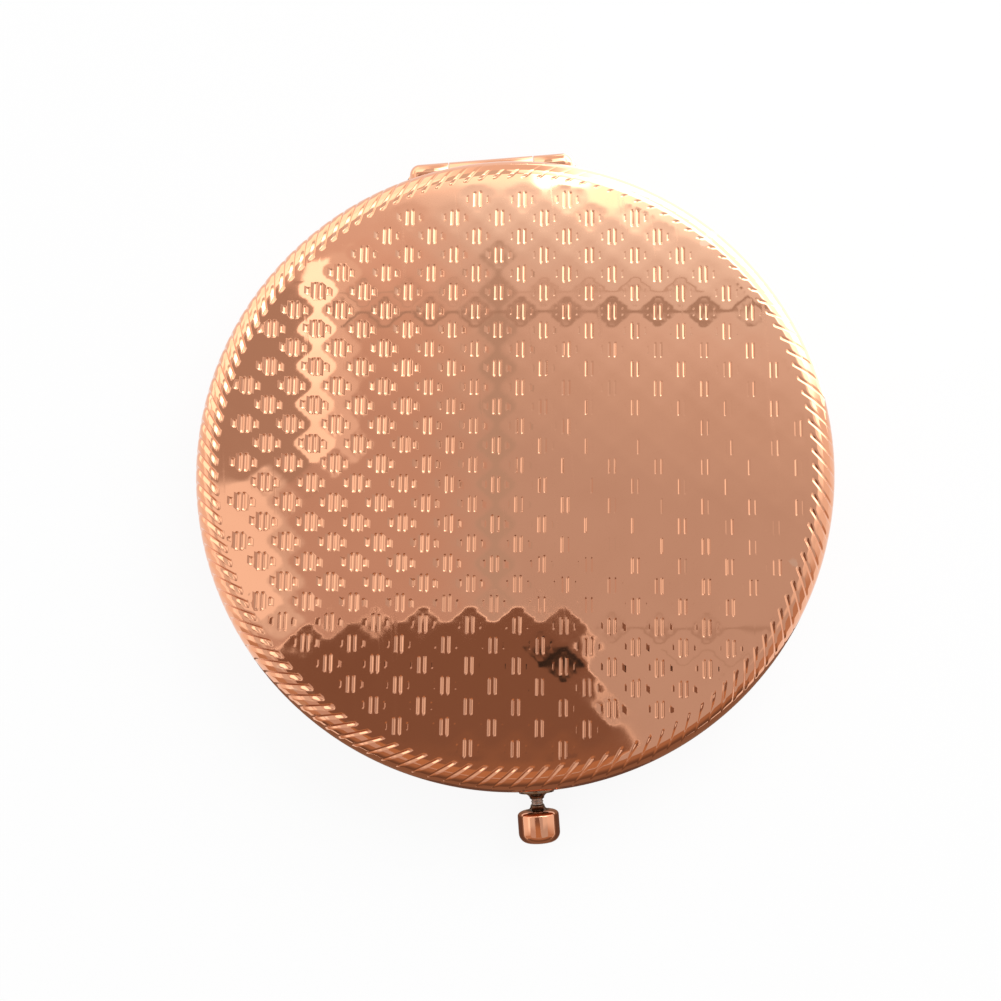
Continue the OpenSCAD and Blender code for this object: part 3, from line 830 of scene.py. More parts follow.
def cut_hinge_notch(bm, s):
    """Opens the wall for the hinge and closes the cut between the outside and the inside of the sheet"""
    notch_z = s.closed_h / 2 + s.notch_rise
    middle = s.shell_r - s.sheet / 2

    def in_notch(c):
        """Whether a place is on the part of the wall that makes room for the hinge"""
        return c.y > 0 and abs(c.x) < s.notch_half and c.z < notch_z and c.xy.length > s.shell_r - 2 * s.sheet

    bmesh.ops.delete(bm, geom=[f for f in bm.faces if in_notch(f.calc_center_median())], context="FACES")
    rails = []
    for outer in (True, False):
        rails += open_edges(bm, lambda co: (co.xy.length > middle) == outer and co.z < notch_z + 0.1 * MM)
    bmesh.ops.bridge_loops(bm, edges=rails)


def punch_hole(piece, radius):
    """Cuts the round hole for the sleeve of the collar through the front wall"""
    bm = bmesh.new()
    place = Matrix.Translation((0, -sizes().shell_r, STEM_AXIS.z)) @ Matrix.Rotation(math.pi / 2, 4, "X")
    bmesh.ops.create_cone(bm, cap_ends=True, segments=48, radius1=radius, radius2=radius, depth=3 * MM,
                          matrix=place)
    punch = link_mesh("punch", bm)
    cutter = piece.modifiers.new("hole", "BOOLEAN")
    cutter.operation, cutter.solver, cutter.object = "DIFFERENCE", "EXACT", punch
    piece.modifiers.move(len(piece.modifiers) - 1, 0)
    shading = piece.modifiers["even_shading"]
    shading.show_viewport = False
    bpy.context.view_layer.update()
    cut = bpy.data.meshes.new_from_object(piece.evaluated_get(bpy.context.evaluated_depsgraph_get()))
    piece.modifiers.remove(cutter)
    shading.show_viewport = True
    whole, piece.data, tool = piece.data, cut, punch.data
    bpy.data.objects.remove(punch)
    for spent in (whole, tool):
        bpy.data.meshes.remove(spent)


class COMPACT_OT_lid_shell(Operator):
    """Pressed lid with its motifs and rope border"""

    bl_idname = "compact.lid_shell"
    bl_label = "Lid shell"

    def execute(self, context):
        s = sizes()
        bm = bmesh.new()
        fine_grid(bm, s)
        patch_border = open_edges(bm)
        rim = bmesh.new()
        turn_profile(rim, UPRIGHT, shell_profile(s, 16), s.rope_count * ROPE_STEPS)
        cut_hinge_notch(rim, s)
        bmesh.ops.rotate(rim, verts=rim.verts[:], cent=(0, 0, 0), matrix=Matrix.Rotation(s.rope_lean, 3, "Z"))
        ceiling = s.closed_h - s.sheet
        bmesh.ops.contextual_create(rim, geom=open_edges(rim, lambda co: abs(co.z - ceiling) < WELD))
        merge_into(bm, rim)
        bm.edges.ensure_lookup_table()
        rim_border = open_edges(bm, lambda co: abs(co.xy.length - s.border_r) < WELD)
        bmesh.ops.triangle_fill(bm, use_beauty=True, use_dissolve=False, edges=patch_border + rim_border,
                                normal=(0, 0, 1))
        outward(bm)
        piece = add_piece("lid_pressed_shell", bm, "lid", "rose_gold_plate", ["lid_shell"], weighted=False)
        press_lid(piece.data, s)
        return {"FINISHED"}


class COMPACT_OT_base_shell(Operator):
    """Plain polished base with its rounded rim"""

    bl_idname = "compact.base_shell"
    bl_label = "Base shell"

    def execute(self, context):
        s = sizes()
        bm = bmesh.new()
        top, ceiling, base_steps, hole_r = s.closed_h, s.closed_h - s.sheet, 360, 1.08 * MM
        points = [(0.0, top), (12 * MM, top), (22 * MM, top)] + shell_profile(s, 12)
        points += [(15 * MM, ceiling), (0.0, ceiling)]
        turn_profile(bm, UPRIGHT, points, base_steps)
        cut_hinge_notch(bm, s)
        upside_down = Matrix.Translation((0, 0, s.closed_h)) @ Matrix.Diagonal((1, 1, -1, 1))
        bmesh.ops.transform(bm, matrix=upside_down, verts=bm.verts[:])
        outward(bm)
        piece = add_piece("base_pressed_shell", bm, "base", "rose_gold_plate", ["base_shell"])
        punch_hole(piece, hole_r)
        return {"FINISHED"}


def make_knob(s):
    """Barrel knob with a rounded end and a concave flare on its shoulder, the flare painted near-black as
    shadow
    """
    end, body_r, shoulder = -KNOB_LOW.y - 0.3 * MM, KNOB_HIGH.x, s.shell_r + 2.35 * MM
    flare, neck, bore = 0.5 * MM, 0.705 * MM, 0.655 * MM
    crown, crown_rise, crown_share, rounding = 0.8 * MM, 0.5 * MM, 0.6, 1.0 * MM
    points = [(bore, shoulder - 0.2 * MM), (bore, shoulder - flare), (neck, shoulder - flare)]
    points += arc(neck + flare, shoulder - flare, flare, 180, 90, 8)[1:]
    for r, d in arc(0.0, 0.0, crown, -90, 0, 9):
        points.append((body_r - crown + r, shoulder + crown_rise + crown_share * d))
    points += arc(body_r - rounding, end - rounding, rounding, 0, 90, 10)
    points += [(0.5 * MM, end), (0.0, end)]
    bm = bmesh.new()
    turn_profile(bm, STEM, points, WIDE_STEPS)
    outward(bm)
    piece = add_piece("knob_button", bm, "knob", "rose_gold_plate", ["latch_knob"])
    flare_end, flare_r = -(shoulder + 0.01 * MM), neck + 1.1 * flare
    # The flare and the shoulder face round the neck get near-black plating as painted shadow
    darken(piece, lambda at: at.y > flare_end and math.hypot(at.x, at.z - STEM_AXIS.z) < flare_r)


def make_collar(s):
    """Dark flare that hugs the rounded wall of the base, and the sleeve in it that guides the stem, all in
    near-black plating as painted shadow
    """
    out, mouth, hole = s.shell_r + 1.20 * MM, 0.725 * MM, 0.675 * MM
    skirt, foot, rise = 1.8 * MM, 1.78 * MM, 0.60 * MM
    points = [(skirt, s.shell_r - 1.2 * MM), (skirt, out - rise - 0.02 * MM)]
    for a in (math.radians(degrees) for degrees in range(0, 91, 9)):
        points.append((foot - (foot - mouth) * math.sin(a), out - rise * math.cos(a)))
    points += [(hole, out), (hole, out - 0.5 * MM)]
    collar = bmesh.new()
    turn_profile(collar, STEM, points, WIDE_STEPS)
    for v in collar.verts:
        if v.co.y > -(s.shell_r - 1.1 * MM):
            height = max(s.rim_round - v.co.z, 0.0)
            outer = s.shell_r - s.rim_round + math.sqrt(s.rim_round ** 2 - height ** 2)
            v.co.y = -math.sqrt(outer ** 2 - v.co.x ** 2) + 0.1 * MM
    bmesh.ops.holes_fill(collar, edges=open_edges(collar))
    outward(collar)
    back, front, sleeve = -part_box("latch_collar")[1].y, out - 0.45 * MM, 1.05 * MM
    ring, ease, ring_end = sleeve + 0.2 * MM, 0.05 * MM, back + 0.2 * MM
    profile = [(hole, front), (hole, back), (sleeve + 0.15 * MM, back), (ring, back + ease), (ring, ring_end),
               (sleeve, ring_end), (sleeve, front)]
    add_tube(collar, STEM, profile, WIDE_STEPS)
    piece = add_piece("collar_flare", collar, "base", "rose_gold_plate", ["latch_collar"])
    # The whole collar gets the near-black plating as painted shadow
    piece.data.materials[0] = once("painted_shadow_flare", painted_shadow_plate)


class COMPACT_OT_knob(Operator):
    """Knob and the collar that its stem slides in"""

    bl_idname = "compact.knob"
    bl_label = "Knob and collar"

    def execute(self, context):
        make_knob(sizes())
        make_collar(sizes())
        return {"FINISHED"}


# One turn of the thread as (depth in millimetres, share of the pitch)
THREAD_TURN = ((0.02, 0.18), (0.075, 0.38), (0.075, 0.58), (0.02, 0.8), (0.0, 1.0))


class COMPACT_OT_stem(Operator):
    """Stem with its rolled thread and thin tail"""

    bl_idname = "compact.stem"
    bl_label = "Stem"

    def execute(self, context):
        radius, tail, ease = STEM_HIGH.x, 0.42 * MM, 0.05 * MM
        front, back, step_at = -STEM_LOW.y, -STEM_HIGH.y, 31.35 * MM
        thread_from, thread_to, pitch = 33.75 * MM, 35.31 * MM, 0.26 * MM
        points = [(0.0, back), (tail - 0.08 * MM, back), (tail, back + 0.08 * MM), (tail, step_at)]
        points += [(radius - ease, step_at), (radius, step_at + ease), (radius, thread_from)]
        for k in range(int((thread_to - thread_from) / pitch)):
            start = thread_from + k * pitch
            points += [(radius - depth * MM, start + share * pitch) for depth, share in THREAD_TURN]
        points += [(radius, front - ease), (radius - ease, front), (0.0, front)]
        stem = bmesh.new()
        turn_profile(stem, STEM, points, SLIM_STEPS)
        outward(stem)
        add_piece("stem_rod", stem, "knob", "steel", ["latch_stem"])
        return {"FINISHED"}


def add_foot(bm, low_z, high_z, corners):
    """A foot beside the barrel, raised from its outline"""
    foot = bmesh.new()
    sole = [foot.verts.new((x, y, low_z)) for x, y in corners]
    face = bmesh.ops.contextual_create(foot, geom=sole)["faces"]
    risen = bmesh.ops.extrude_face_region(foot, geom=face)["geom"]
    bmesh.ops.translate(foot, vec=(0, 0, high_z - low_z), verts=only(bmesh.types.BMVert, risen))
    outward(foot)
    ease_edges(foot, 0.12 * MM, 4)
    merge_into(bm, foot)


def knuckle_edge(radius, end, inward):
    """Eased edge of a knuckle's end"""
    ease, part = 0.06 * MM, 0.018 * MM
    return [(radius - ease, end), (radius - part, end + inward * part), (radius, end + inward * ease)]


class COMPACT_OT_hinge(Operator):
    """Knuckles, feet, leaves and pin of the hinge"""

    bl_idname = "compact.hinge"
    bl_label = "Hinge"

    def execute(self, context):
        s = sizes()
        radius, bore, half, rounding = 1.25 * MM, 0.64 * MM, 8.85 * MM, 1.1 * MM
        start, middle, leaf_half, overlap = 4.59 * MM, 4.51 * MM, 8.15 * MM, 0.05 * MM
        pin_half = PIN_HIGH.x
        leaf_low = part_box("base_hinge_leaf")[0]
        bottom, top, front = leaf_low.z, leaf_low.z + 0.4 * MM, leaf_low.y
        strip_end, tongue_end = HINGE_AXIS.y - 1.5 * MM, HINGE_AXIS.y - 0.03 * MM

        base = bmesh.new()
        add_block(base, (start, strip_end - overlap, bottom), (leaf_half, tongue_end, top), 0.03 * MM)
        profile = [(bore, start), *knuckle_edge(radius, start, 1), (radius, (start + half) / 2)]
        profile += arc(radius - rounding, half - rounding, rounding, 0, 90, 9)
        profile += [(0.0, half), (0.0, pin_half + 0.05 * MM), (bore, pin_half + 0.05 * MM)]
        add_tube(base, HINGE, profile, WIDE_STEPS)
        foot_side, foot_back = half + 1.35 * MM, HINGE_AXIS.y + 0.5 * MM
        foot_front = math.sqrt(s.shell_r ** 2 - foot_side ** 2) + 0.06 * MM
        outline = [(leaf_half - rounding, strip_end + overlap), (foot_side, foot_front)]
        outline += [(half + 0.65 * MM, HINGE_AXIS.y - 0.65 * MM), (half + 0.22 * MM, HINGE_AXIS.y)]
        outline += [(half - 0.12 * MM, foot_back), (leaf_half - rounding, foot_back)]
        add_foot(base, bottom, s.closed_h / 2 - s.seam_gap, outline)
        add_mirrored(base)
        add_block(base, (-leaf_half, front, bottom), (leaf_half, strip_end, top))
        leaf = add_piece("hinge_base_leaf", base, "base", "rose_gold_plate", ["base_hinge_leaf"])
        # The feet beside the outer knuckles get near-black plating as painted shadow
        darken(leaf, lambda at: abs(at.x) > half + 0.10 * MM and at.z < s.closed_h / 2 - s.seam_gap / 2)

        lid = bmesh.new()
        add_block(lid, (-leaf_half, front, bottom), (leaf_half, strip_end, top))
        add_block(lid, (-middle, strip_end - overlap, bottom), (middle, tongue_end, top), 0.03 * MM)
        turn_over(lid, s)
        edge = knuckle_edge(radius, middle, -1)
        profile = [(bore, middle), *edge, (radius, 0.0)]
        profile += [(r, -d) for r, d in reversed(edge)] + [(bore, -middle)]
        add_tube(lid, HINGE, profile, WIDE_STEPS)
        add_piece("hinge_lid_leaf", lid, "lid", "rose_gold_plate", ["lid_hinge_leaf"])

        pin = bmesh.new()
        r, ease = PIN_HIGH.z - HINGE_AXIS.z, 0.08 * MM
        profile = [(0.0, -pin_half), (r - ease, -pin_half), (r, ease - pin_half), (r, pin_half - ease),
                   (r - ease, pin_half), (0.0, pin_half)]
        add_tube(pin, HINGE, profile, SLIM_STEPS)
        add_piece("hinge_steel_pin", pin, "base", "steel", ["hinge_pin"])
        return {"FINISHED"}


class COMPACT_OT_frames(Operator):
    """Ring frames round the mirrors, with eased edges"""

    bl_idname = "compact.frames"
    bl_label = "Ring frames"

    def execute(self, context):
        for body in ("base", "lid"):
            ring = eased_copy(f"{body}_frame", 0.05 * MM)
            add_piece(f"{body}_ring_frame", ring, body, "inner_plate", [f"{body}_frame"])
        return {"FINISHED"}


class COMPACT_OT_mirrors(Operator):
    """Plain mirror of the lid, hollow mirror of the base, and the cards behind them"""

    bl_idname = "compact.mirrors"
    bl_label = "Mirrors"

    def execute(self, context):
        s = sizes()
        low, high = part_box("base_mirror")
        r, border, ground, ease = high.x, 0.7 * MM, 0.2 * MM, 0.05 * MM
        bowl_r, glass_steps = 1000 * MM, 128
        rise = math.sqrt(bowl_r ** 2 - (r - border) ** 2)
        radii = [(r - border) * k / 16 for k in range(17)]
        hollow = [(x, high.z + rise - math.sqrt(bowl_r ** 2 - x ** 2)) for x in radii]
        back = [(r - ground, high.z), (r, high.z - ground), (r, low.z + ease)]
        back += [(r - ease, low.z), (r / 2, low.z), (0.0, low.z)]
        for body, face in (("base", hollow), ("lid", [(r * k / 8, high.z) for k in range(8)])):
            bm = bmesh.new()
            add_tube(bm, UPRIGHT, face + back, glass_steps)
            if body == "lid":
                turn_over(bm, s)
            add_piece(f"{body}_silvered_glass", bm, body, "mirror_glass", [f"{body}_mirror"])
            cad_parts[f"{body}_mirror_pad"].material_slots[0].material = finish_of("backing_card")
        return {"FINISHED"}


class COMPACT_OT_rivets(Operator):
    """Domed rivets of the hinge leaves, the bracket and the hook"""

    bl_idname = "compact.rivets"
    bl_label = "Rivets"

    def execute(self, context):
        shank, head, rise = 0.4 * MM, 0.8 * MM, 0.25 * MM
        ball = (head ** 2 + rise ** 2) / (2 * rise)
        dome = [(head * k / 7, math.sqrt(ball ** 2 - (head * k / 7) ** 2) - ball + rise) for k in range(8)]
        for name, body in (("base_hinge_rivets", "base"), ("lid_hinge_rivets", "lid"),
                           ("latch_bracket_rivets", "base"), ("lid_catch_rivets", "lid")):
            low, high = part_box(name)
            top, bottom = high.z - rise, low.z + rise
            profile = [(r, top + h) for r, h in dome] + [(shank, top), (shank, bottom)]
            profile += [(r, bottom - h) for r, h in reversed(dome)]
            bm = bmesh.new()
            add_tube(bm, UPRIGHT, profile, SLIM_STEPS)
            bmesh.ops.translate(bm, vec=(high.x - head, (low.y + high.y) / 2, 0), verts=bm.verts[:])
            add_mirrored(bm)
            add_piece(name.replace("rivets", "domed_rivets"), bm, body, "rose_gold_plate", [name])
        return {"FINISHED"}


def make_clip():
    """Round clip that holds the stem in the catch plate"""
    low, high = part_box("latch_stem_clip")
    r, bore, front, back, ease = high.x, 0.45 * MM, -low.y, -high.y, 0.06 * MM
    profile = [(bore, front), (r - ease, front), (r, front - ease)]
    profile += [(r, back + ease), (r - ease, back), (bore, back)]
    clip = bmesh.new()
    add_tube(clip, STEM, profile, SLIM_STEPS)
    add_piece("stem_clip_ring", clip, "knob", "steel", ["latch_stem_clip"])


def make_spring():
    """Coil that returns the knob"""
    wire, turns, steps_per_turn = 0.12 * MM, 3.5, 24
    low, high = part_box("latch_spring")
    spring = bmesh.new()
    place = Matrix.Translation((high.x - wire, low.y + wire, STEM_AXIS.z))
    ring = bmesh.ops.create_circle(spring, cap_ends=False, radius=wire, segments=12, matrix=place)["verts"]
    edges = list({e for v in ring for e in v.link_edges})
    steps = int(turns * steps_per_turn)
    bmesh.ops.spin(spring, geom=ring + edges, cent=tuple(STEM_AXIS), axis=(0, -1, 0),
                   angle=turns * WHOLE_TURN, steps=steps, dvec=(0, (high.y - low.y - 2 * wire) / steps, 0))
    bmesh.ops.holes_fill(spring, edges=open_edges(spring))
    outward(spring)
    coil = add_piece("stem_spring_coil", spring, "base", "steel", ["latch_spring"])
    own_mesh(coil)


class COMPACT_OT_latch(Operator):
    """Catch plate, hook, bracket, clip and spring"""

    bl_idname = "compact.latch"
    bl_label = "Latch"

    def execute(self, context):
        for name, body, slot, title in (("latch_bracket", "base", "inner_plate", "latch_folded_bracket"),
                                        ("latch_slide", "knob", "steel", "latch_sliding_plate"),
                                        ("lid_catch", "lid", "steel", "lid_hook")):
            add_piece(title, eased_copy(name, 0.035 * MM), body, slot, [name])
        make_clip()
        make_spring()
        return {"FINISHED"}


# Stage

GLOW = 6.0
CARD_SHIFT = Vector((-4.9 * MM, 27.0 * MM, 0.0))
CARD_HIGH = 0.414
CARD_SIDE = 0.47
CARD_NEAR, CARD_FAR = -0.42, 0.52
FLOOR_HALF = 1.5
WHITE = (1, 1, 1, 1)
BRIGHT_PANE = (5.0, 5.0, 4.9)
GREY_WALL = (0.78, 0.74, 0.70)
DIM_WALL = (0.55, 0.37, 0.26)


def make_camera():
    """Camera at the photograph's place"""
    data = bpy.data.cameras.new("camera")
    data.lens, data.sensor_width, data.clip_start = 39.56, 36.0, 0.001
    camera = bpy.data.objects.new("camera", data)
    camera.location = (0.795 * MM, -18.522 * MM, 117.64 * MM)
    camera.rotation_euler = (math.radians(7.621), math.radians(1.719), math.radians(-3.987))
    bpy.context.scene.collection.objects.link(camera)
    bpy.context.scene.camera = camera


def stage_plane(name, material, corners):
    """A flat stage sheet through four or more corners"""
    bm = bmesh.new()
    bmesh.ops.contextual_create(bm, geom=[bm.verts.new(c) for c in corners])
    sheet = link_mesh(name, bm)
    sheet.data.materials.append(material)
    return sheet


def seen_rays(tree):
    """Mask of the rays that see the background: from the camera, off metal and through glass"""
    path = tree.nodes.new("ShaderNodeLightPath").outputs
    seen = math_node(tree, "MAXIMUM", path["Is Camera Ray"], path["Is Glossy Ray"])
    return math_node(tree, "MAXIMUM", seen, path["Is Transmission Ray"])


def make_floor():
    """Pale floor that keeps the compact's shadow"""
    material, tree, shader, where = start_material("studio_floor")
    grain = noise(tree, where, 400.0, 3.0).outputs[0]
    tone = mix(tree, grain, (0.93, 0.93, 0.93, 1.0), (0.95, 0.95, 0.95, 1.0))
    fill(tree, shader, {"Base Color": tone, "Roughness": 0.9, "Specular IOR Level": 0.2})
    white = node(tree, "ShaderNodeEmission", {"Color": WHITE, "Strength": 1.0})
    inputs = {0: times(tree, seen_rays(tree), 0.90), 1: shader.outputs[0], 2: white.outputs[0]}
    both = node(tree, "ShaderNodeMixShader", inputs)
    fill(tree, tree.nodes["Material Output"], {"Surface": both.outputs[0]})
    signs = ((-1, -1), (1, -1), (1, 1), (-1, 1))
    stage_plane("studio_floor", material, [(x * FLOOR_HALF, y * FLOOR_HALF, 0) for x, y in signs])


def make_light():
    """White world and one soft lamp from the back right"""
    scene = bpy.context.scene
    scene.view_settings.view_transform = "Standard"
    world = bpy.data.worlds.new("studio_world")
    world.use_nodes = True
    scene.world = world
    tree = world.node_tree
    tree.nodes.clear()
    seen = seen_rays(tree)
    ambient = node(tree, "ShaderNodeBackground", {"Color": WHITE, "Strength": 0.72})
    backdrop = node(tree, "ShaderNodeBackground", {"Color": WHITE, "Strength": 1.0})
    both = node(tree, "ShaderNodeMixShader", {0: seen, 1: ambient.outputs[0], 2: backdrop.outputs[0]})
    node(tree, "ShaderNodeOutputWorld", {"Surface": both.outputs[0]})
    lamp = bpy.data.lights.new("softbox", "AREA")
    lamp.shape, lamp.size, lamp.size_y, lamp.energy = "RECTANGLE", 0.65, 0.45, 3.2
    softbox = bpy.data.objects.new("softbox", lamp)
    softbox.location = (0.40, 0.46, 0.47)
    softbox.rotation_euler = (Vector((0, 0, 0)) - softbox.location).to_track_quat("-Z", "Y").to_euler()
    softbox.visible_camera = False
    scene.collection.objects.link(softbox)


def card_glow(name, paint):
    """Glow of a card, with its colour painted by a function of the card's own coordinates"""
    material, tree, _, where = start_material(name)
    inputs = {"Vector": where, "Location": CARD_SHIFT}
    centred = node(tree, "ShaderNodeMapping", inputs, vector_type="TEXTURE").outputs[0]
    glow = node(tree, "ShaderNodeEmission", {"Color": paint(tree, centred), "Strength": GLOW})
    fill(tree, tree.nodes["Material Output"], {"Surface": glow.outputs[0]})
    tree.nodes.remove(tree.nodes["Principled BSDF"])
    return material


def dimmed(tone):
    """A full-strength tone as the colour of a glow"""
    return (*(c / GLOW for c in tone), 1.0)


def blend(tree, mask, under, over):
    """One colour over another by a mask; tones are given at full strength"""
    under, over = (dimmed(given) if isinstance(given, tuple) else given for given in (under, over))
    return mix(tree, mask, under, over)


def fade(tree, value, low, high, under, over):
    """One colour that fades into another as a value passes from low to high"""
    return blend(tree, remap(tree, value, low, high), under, over)


def band(tree, value, half, soft):
    """Mask that is 1 within a half width of zero, with soft sides"""
    risen = remap(tree, value, -half - soft, -half + soft)
    return times(tree, risen, remap(tree, value, half + soft, half - soft))


def patch(tree, where, centre, half, soft, turn=0.0):
    """Mask of a soft-edged rectangle on a card, in millimetres and degrees"""
    inputs = {"Vector": where, "Location": (centre[0] * MM, centre[1] * MM, 0.0),
              "Rotation": (0.0, 0.0, math.radians(turn))}
    axes = split(tree, node(tree, "ShaderNodeMapping", inputs, vector_type="TEXTURE").outputs[0])
    return times(tree, *(band(tree, axes[k], half[k] * MM, soft * MM) for k in (0, 1)))


# Place on the way from the front to the back of the room, and the tone there
CANOPY_TONES = (
    (0.0, (0.585, 0.550, 0.535)),
    (0.20, (0.590, 0.555, 0.540)),
    (0.36, (0.66, 0.63, 0.61)),
    (0.50, (0.76, 0.75, 0.75)),
    (0.60, (0.80, 0.84, 0.86)),
    (0.70, (1.02, 1.16, 1.22)),
    (0.77, (2.0, 2.1, 2.1)),
    (0.90, (3.6, 3.6, 3.6)),
)
CANOPY_PATCHES = (
    # Tone, centre, half size, softness and turn, in millimetres and degrees
    ((0.47, 0.40, 0.36), (-135, 88), (40, 50), 5, 0),
    ((0.78, 0.75, 0.72), (-150, 4), (46, 37), 5, 6),
    ((1.06, 1.03, 0.98), (-152, 7), (40, 32), 2.5, 6),
    ((0.86, 0.80, 0.76), (-76, 100), (7, 52), 3, -2),
    ((0.53, 0.52, 0.50), (-4, 60), (5, 85), 4, -4),
    ((0.44, 0.40, 0.37), (30, 113), (105, 2.2), 1.5, -3),
    ((0.56, 0.52, 0.49), (10, 125), (90, 0.9), 0.8, -3),
    ((0.46, 0.41, 0.38), (84, -43), (44, 1.3), 1.0, -4),
    ((0.50, 0.46, 0.43), (95, -56), (30, 1.0), 0.8, -6),
    ((2.4, 2.3, 2.05), (58, 176), (12, 14), 4, 0),
    ((5.0, 5.0, 4.9), (36, 189), (14, 13), 3, 0),
    ((0.78, 0.80, 0.76), (-16.5, 370), (38.5, 177), 2, 0),
)


def rippled(tree, where):
    """Coordinates that sway a little, so that edges on a card aren't ruler-straight"""
    sway = vector_node(tree, "MULTIPLY", noise(tree, where, 55.0, 2.0).outputs["Color"], (0.006, 0.004, 0.0))
    return vector_node(tree, "SUBTRACT", vector_node(tree, "ADD", where, sway), (0.003, 0.002, 0.0))


def paint_canopy(tree, where):
    """Grey room with light walls, a bright window towards the back right, and the dim bands of its frame"""
    where = rippled(tree, where)
    x, y, _ = split(tree, where)
    depth = plus(tree, times(tree, x, 0.35), y)
    tones = node(tree, "ShaderNodeValToRGB", {0: math_node(tree, "DIVIDE", depth, 0.25)})
    ramp = tones.color_ramp
    while len(ramp.elements) < len(CANOPY_TONES):
        ramp.elements.new(0.5)
    for element, (place, tone) in zip(ramp.elements, CANOPY_TONES):
        element.position, element.color = place, dimmed(tone)
    painted = mix(tree, remap(tree, x, 0.0, -0.05), tones.outputs[0], (1.03, 0.91, 0.86, 1.0), "MULTIPLY")
    low = remap(tree, y, -0.16, -0.10)
    near_wall = fade(tree, y, -0.07, 0.03, (0.88, 0.83, 0.78), (1.32, 1.27, 1.21))
    far_wall = fade(tree, y, -0.07, 0.0, (0.82, 0.77, 0.72), (1.20, 1.15, 1.08))
    for start, end, wall in ((-0.155, -0.19, GREY_WALL), (0.155, 0.20, near_wall), (-0.31, -0.35, far_wall)):
        painted = blend(tree, times(tree, remap(tree, x, start, end), low), painted, wall)
    slant = plus(tree, y, times(tree, x, 0.12))
    painted = fade(tree, slant, 0.172, 0.190, painted, (2.0, 1.9, 1.75))
    window = plus(tree, times(tree, x, 0.523), times(tree, y, 0.852))
    pane = fade(tree, x, 0.03, 0.11, (2.0, 1.95, 1.85), BRIGHT_PANE)
    pane = fade(tree, x, 0.17, 0.23, pane, (2.6, 2.55, 2.45))
    lit = times(tree, remap(tree, window, 0.180, 0.225), remap(tree, y, 0.03, 0.09))
    painted = blend(tree, lit, painted, pane)
    for tone, centre, half, soft, turn in CANOPY_PATCHES:
        painted = blend(tree, patch(tree, where, centre, half, soft, turn), painted, tone)
    strip = fade(tree, y, 0.055, 0.14, (1.28, 1.26, 1.18), (1.9, 1.85, 1.75))
    return blend(tree, patch(tree, where, (-88, 99), (6.5, 50), 1.2, -2.4), painted, strip)


def paint_flag(tree, where):
    """Dark flag with a black block, warmer and lighter away from the compact"""
    y = split(tree, where)[1]
    far = fade(tree, y, -0.078, -0.14, (0.235, 0.150, 0.110), (0.50, 0.29, 0.16))
    return blend(tree, patch(tree, where, (15.5, -51), (10, 5), 1.2), far, (0.03, 0.028, 0.025))


def paint_front(tree, where):
    """Dim warm front of the room, darker towards the floor"""
    return fade(tree, split(tree, where)[2], 0.28, 0.05, (0.42, 0.25, 0.15), (0.16, 0.10, 0.07))


def paint_left(tree, where):
    """Light wall, brighter above and towards the back, dim towards the front"""
    _, y, z = split(tree, where)
    wall = fade(tree, z, 0.22, 0.30, (1.0, 0.92, 0.84), (1.32, 1.27, 1.20))
    back = fade(tree, z, 0.16, 0.22, (1.9, 1.8, 1.65), (1.15, 1.08, 1.0))
    return fade(tree, y, -0.13, -0.22, fade(tree, y, 0.14, 0.20, wall, back), DIM_WALL)


def paint_window(tree, where):
    """Bright window towards the back right, dimmer wall away from it and dim towards the front"""
    x, y, _ = split(tree, where)
    wall = fade(tree, y, -0.10, -0.20, (0.95, 0.88, 0.82), DIM_WALL)
    wall = fade(tree, x, 0.0, -0.1, wall, (1.8, 1.7, 1.55))
    return fade(tree, plus(tree, x, y), 0.56, 0.68, wall, (4.0, 4.0, 3.9))


def plain_paint(tone):
    """A paint of one tone"""
    return lambda tree, where: blend(tree, 0.0, tone, tone)


def add_card(name, paint, corners):
    """A painted card that only reflections see"""
    card = stage_plane(name, card_glow(name, paint), corners)
    card.visible_camera = card.visible_diffuse = card.visible_shadow = card.visible_transmission = False


def add_low_card(name, tone, lift, outline):
    """A plain card just above the floor, its lift and outline in millimetres"""
    add_card(name, plain_paint(tone), [(x * MM, y * MM, lift * MM) for x, y in outline])


FLAG_MIDDLE = Vector((-38, -80, 0))
FLAG_OUTLINE = ((-112, -39), (-95, -30), (-55, -28.5), (-15, -29), (17, -30.5), (28, -35), (31, -43),
                (29.5, -58), (32, -69), (44.5, -84), (54, -106), (110, -390), (-170, -390), (-137, -88))
KNOB_CARD_OUTLINE = ((3, -45), (14, -45), (14, -34.5), (3, -34.5))
FRONT_OUTLINE = ((-250, -418), (250, -418), (29, -16), (21, -25.5), (11, -31.2), (0, -33.0), (-11, -31.2),
                 (-21, -25.5), (-29, -16))
RIGHT_OUTLINE = ((33.2, 6), (300, 50), (300, 420), (20, 420), (9, 36))


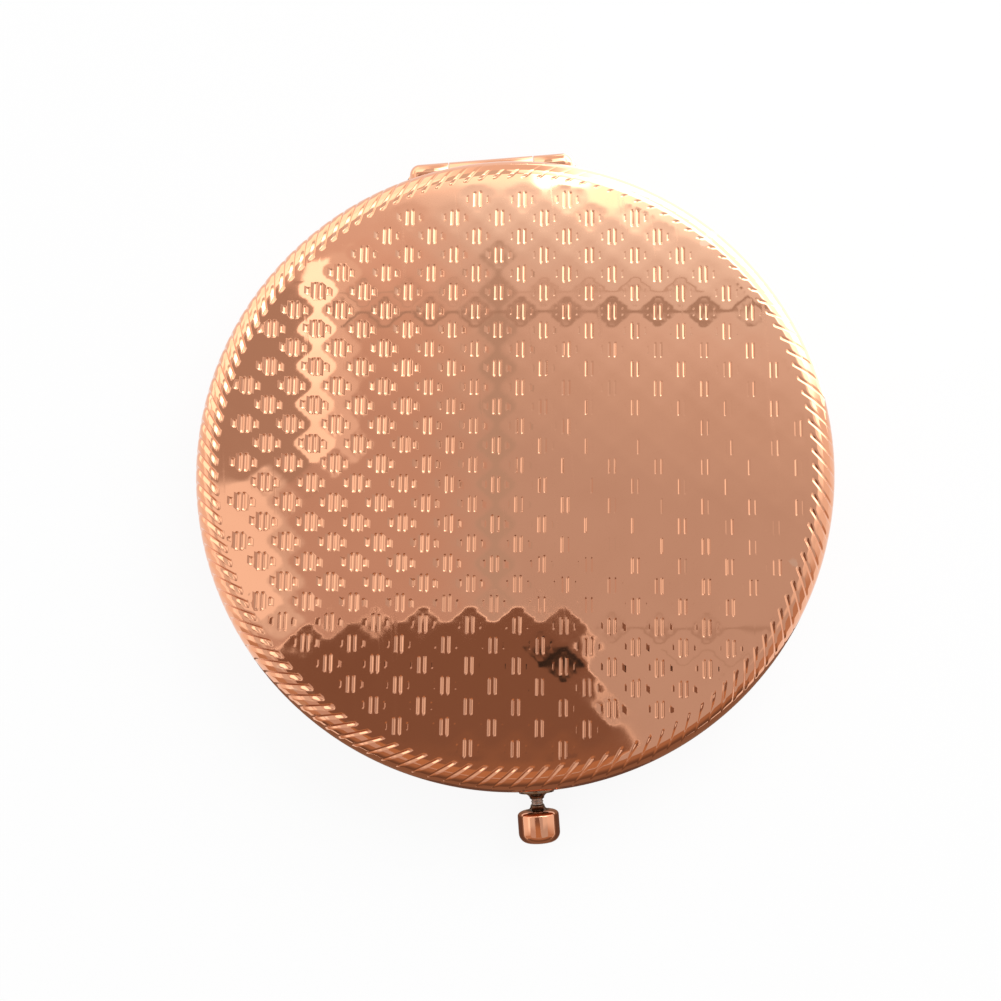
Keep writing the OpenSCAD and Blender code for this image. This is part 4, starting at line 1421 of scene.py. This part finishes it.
def make_cards():
    """Canopy, flag, walls and low cards: the light and dark zones that the metal reflects"""
    near_left, near_right = (-CARD_SIDE, CARD_NEAR), (CARD_SIDE, CARD_NEAR)
    far_left, far_right = (-CARD_SIDE, CARD_FAR), (CARD_SIDE, CARD_FAR)
    roof = (near_left, near_right, far_right, far_left)
    add_card("card_canopy", paint_canopy, [(*corner, CARD_HIGH) for corner in roof])
    for name, lift, grow, paint in (("card_flag", 3.0, 0.0, paint_flag),
                                    ("card_flag_edge", 2.0, 1.5, plain_paint((1.35, 1.28, 1.20)))):
        outline = []
        for x, y in reversed(FLAG_OUTLINE):
            point = Vector((x, y, 0))
            point += (point - FLAG_MIDDLE).normalized() * grow
            outline.append((point.x * MM + CARD_SHIFT.x, point.y * MM + CARD_SHIFT.y, CARD_HIGH - lift * MM))
        add_card(name, paint, outline)
    for name, paint, start, end in (("card_front", paint_front, near_left, near_right),
                                    ("card_left", paint_left, near_left, far_left),
                                    ("card_right", paint_window, near_right, far_right),
                                    ("card_back", paint_window, far_left, far_right)):
        add_card(name, paint, [(*start, 0.0), (*end, 0.0), (*end, CARD_HIGH), (*start, CARD_HIGH)])
    for name, side in (("card_knob_left", -1), ("card_knob_right", 1)):
        add_low_card(name, (0.14, 0.09, 0.07), 0.15, [(side * x, y) for x, y in KNOB_CARD_OUTLINE])
    add_low_card("card_low_front", (0.26, 0.17, 0.12), 0.12, FRONT_OUTLINE)
    add_low_card("card_low_right", (2.6, 2.55, 2.4), 0.12, RIGHT_OUTLINE)


class COMPACT_OT_studio(Operator):
    """Camera, pale floor, soft lamp and the cards that the metal reflects"""

    bl_idname = "compact.studio"
    bl_label = "Studio"

    def execute(self, context):
        make_camera()
        make_floor()
        make_light()
        make_cards()
        return {"FINISHED"}


class COMPACT_PT_panel(Panel):
    """Buttons that build the compact, one for each piece or group, and its sizes and colours"""

    bl_label = "Round compact mirror"
    bl_idname = "COMPACT_PT_panel"
    bl_space_type = "VIEW_3D"
    bl_region_type = "UI"
    bl_category = "Compact"

    def draw(self, context):
        for step in STEPS:
            self.layout.operator(step.bl_idname)
        for group in (context.scene.compact_sizes, context.scene.compact_finish):
            for name in group.__annotations__:
                self.layout.prop(group, name)


STEPS = (
    COMPACT_OT_lid_shell,
    COMPACT_OT_base_shell,
    COMPACT_OT_hinge,
    COMPACT_OT_knob,
    COMPACT_OT_stem,
    COMPACT_OT_latch,
    COMPACT_OT_frames,
    COMPACT_OT_mirrors,
    COMPACT_OT_rivets,
    COMPACT_OT_studio,
)
CLASSES = (CompactSizes, CompactFinish, *STEPS, COMPACT_PT_panel)


def register():
    """Registers the classes and puts their settings on the scene"""
    for each in CLASSES:
        bpy.utils.register_class(each)
    bpy.types.Scene.compact_sizes = PointerProperty(type=CompactSizes)
    bpy.types.Scene.compact_finish = PointerProperty(type=CompactFinish)


def unregister():
    """Takes the settings and the classes away again"""
    del bpy.types.Scene.compact_finish
    del bpy.types.Scene.compact_sizes
    for each in reversed(CLASSES):
        bpy.utils.unregister_class(each)


def main():
    """Builds every piece and the studio"""
    register()
    for step in STEPS:
        getattr(bpy.ops.compact, step.bl_idname.split(".")[1])()
    bpy.context.view_layer.update()


if __name__ == "__main__":
    main()
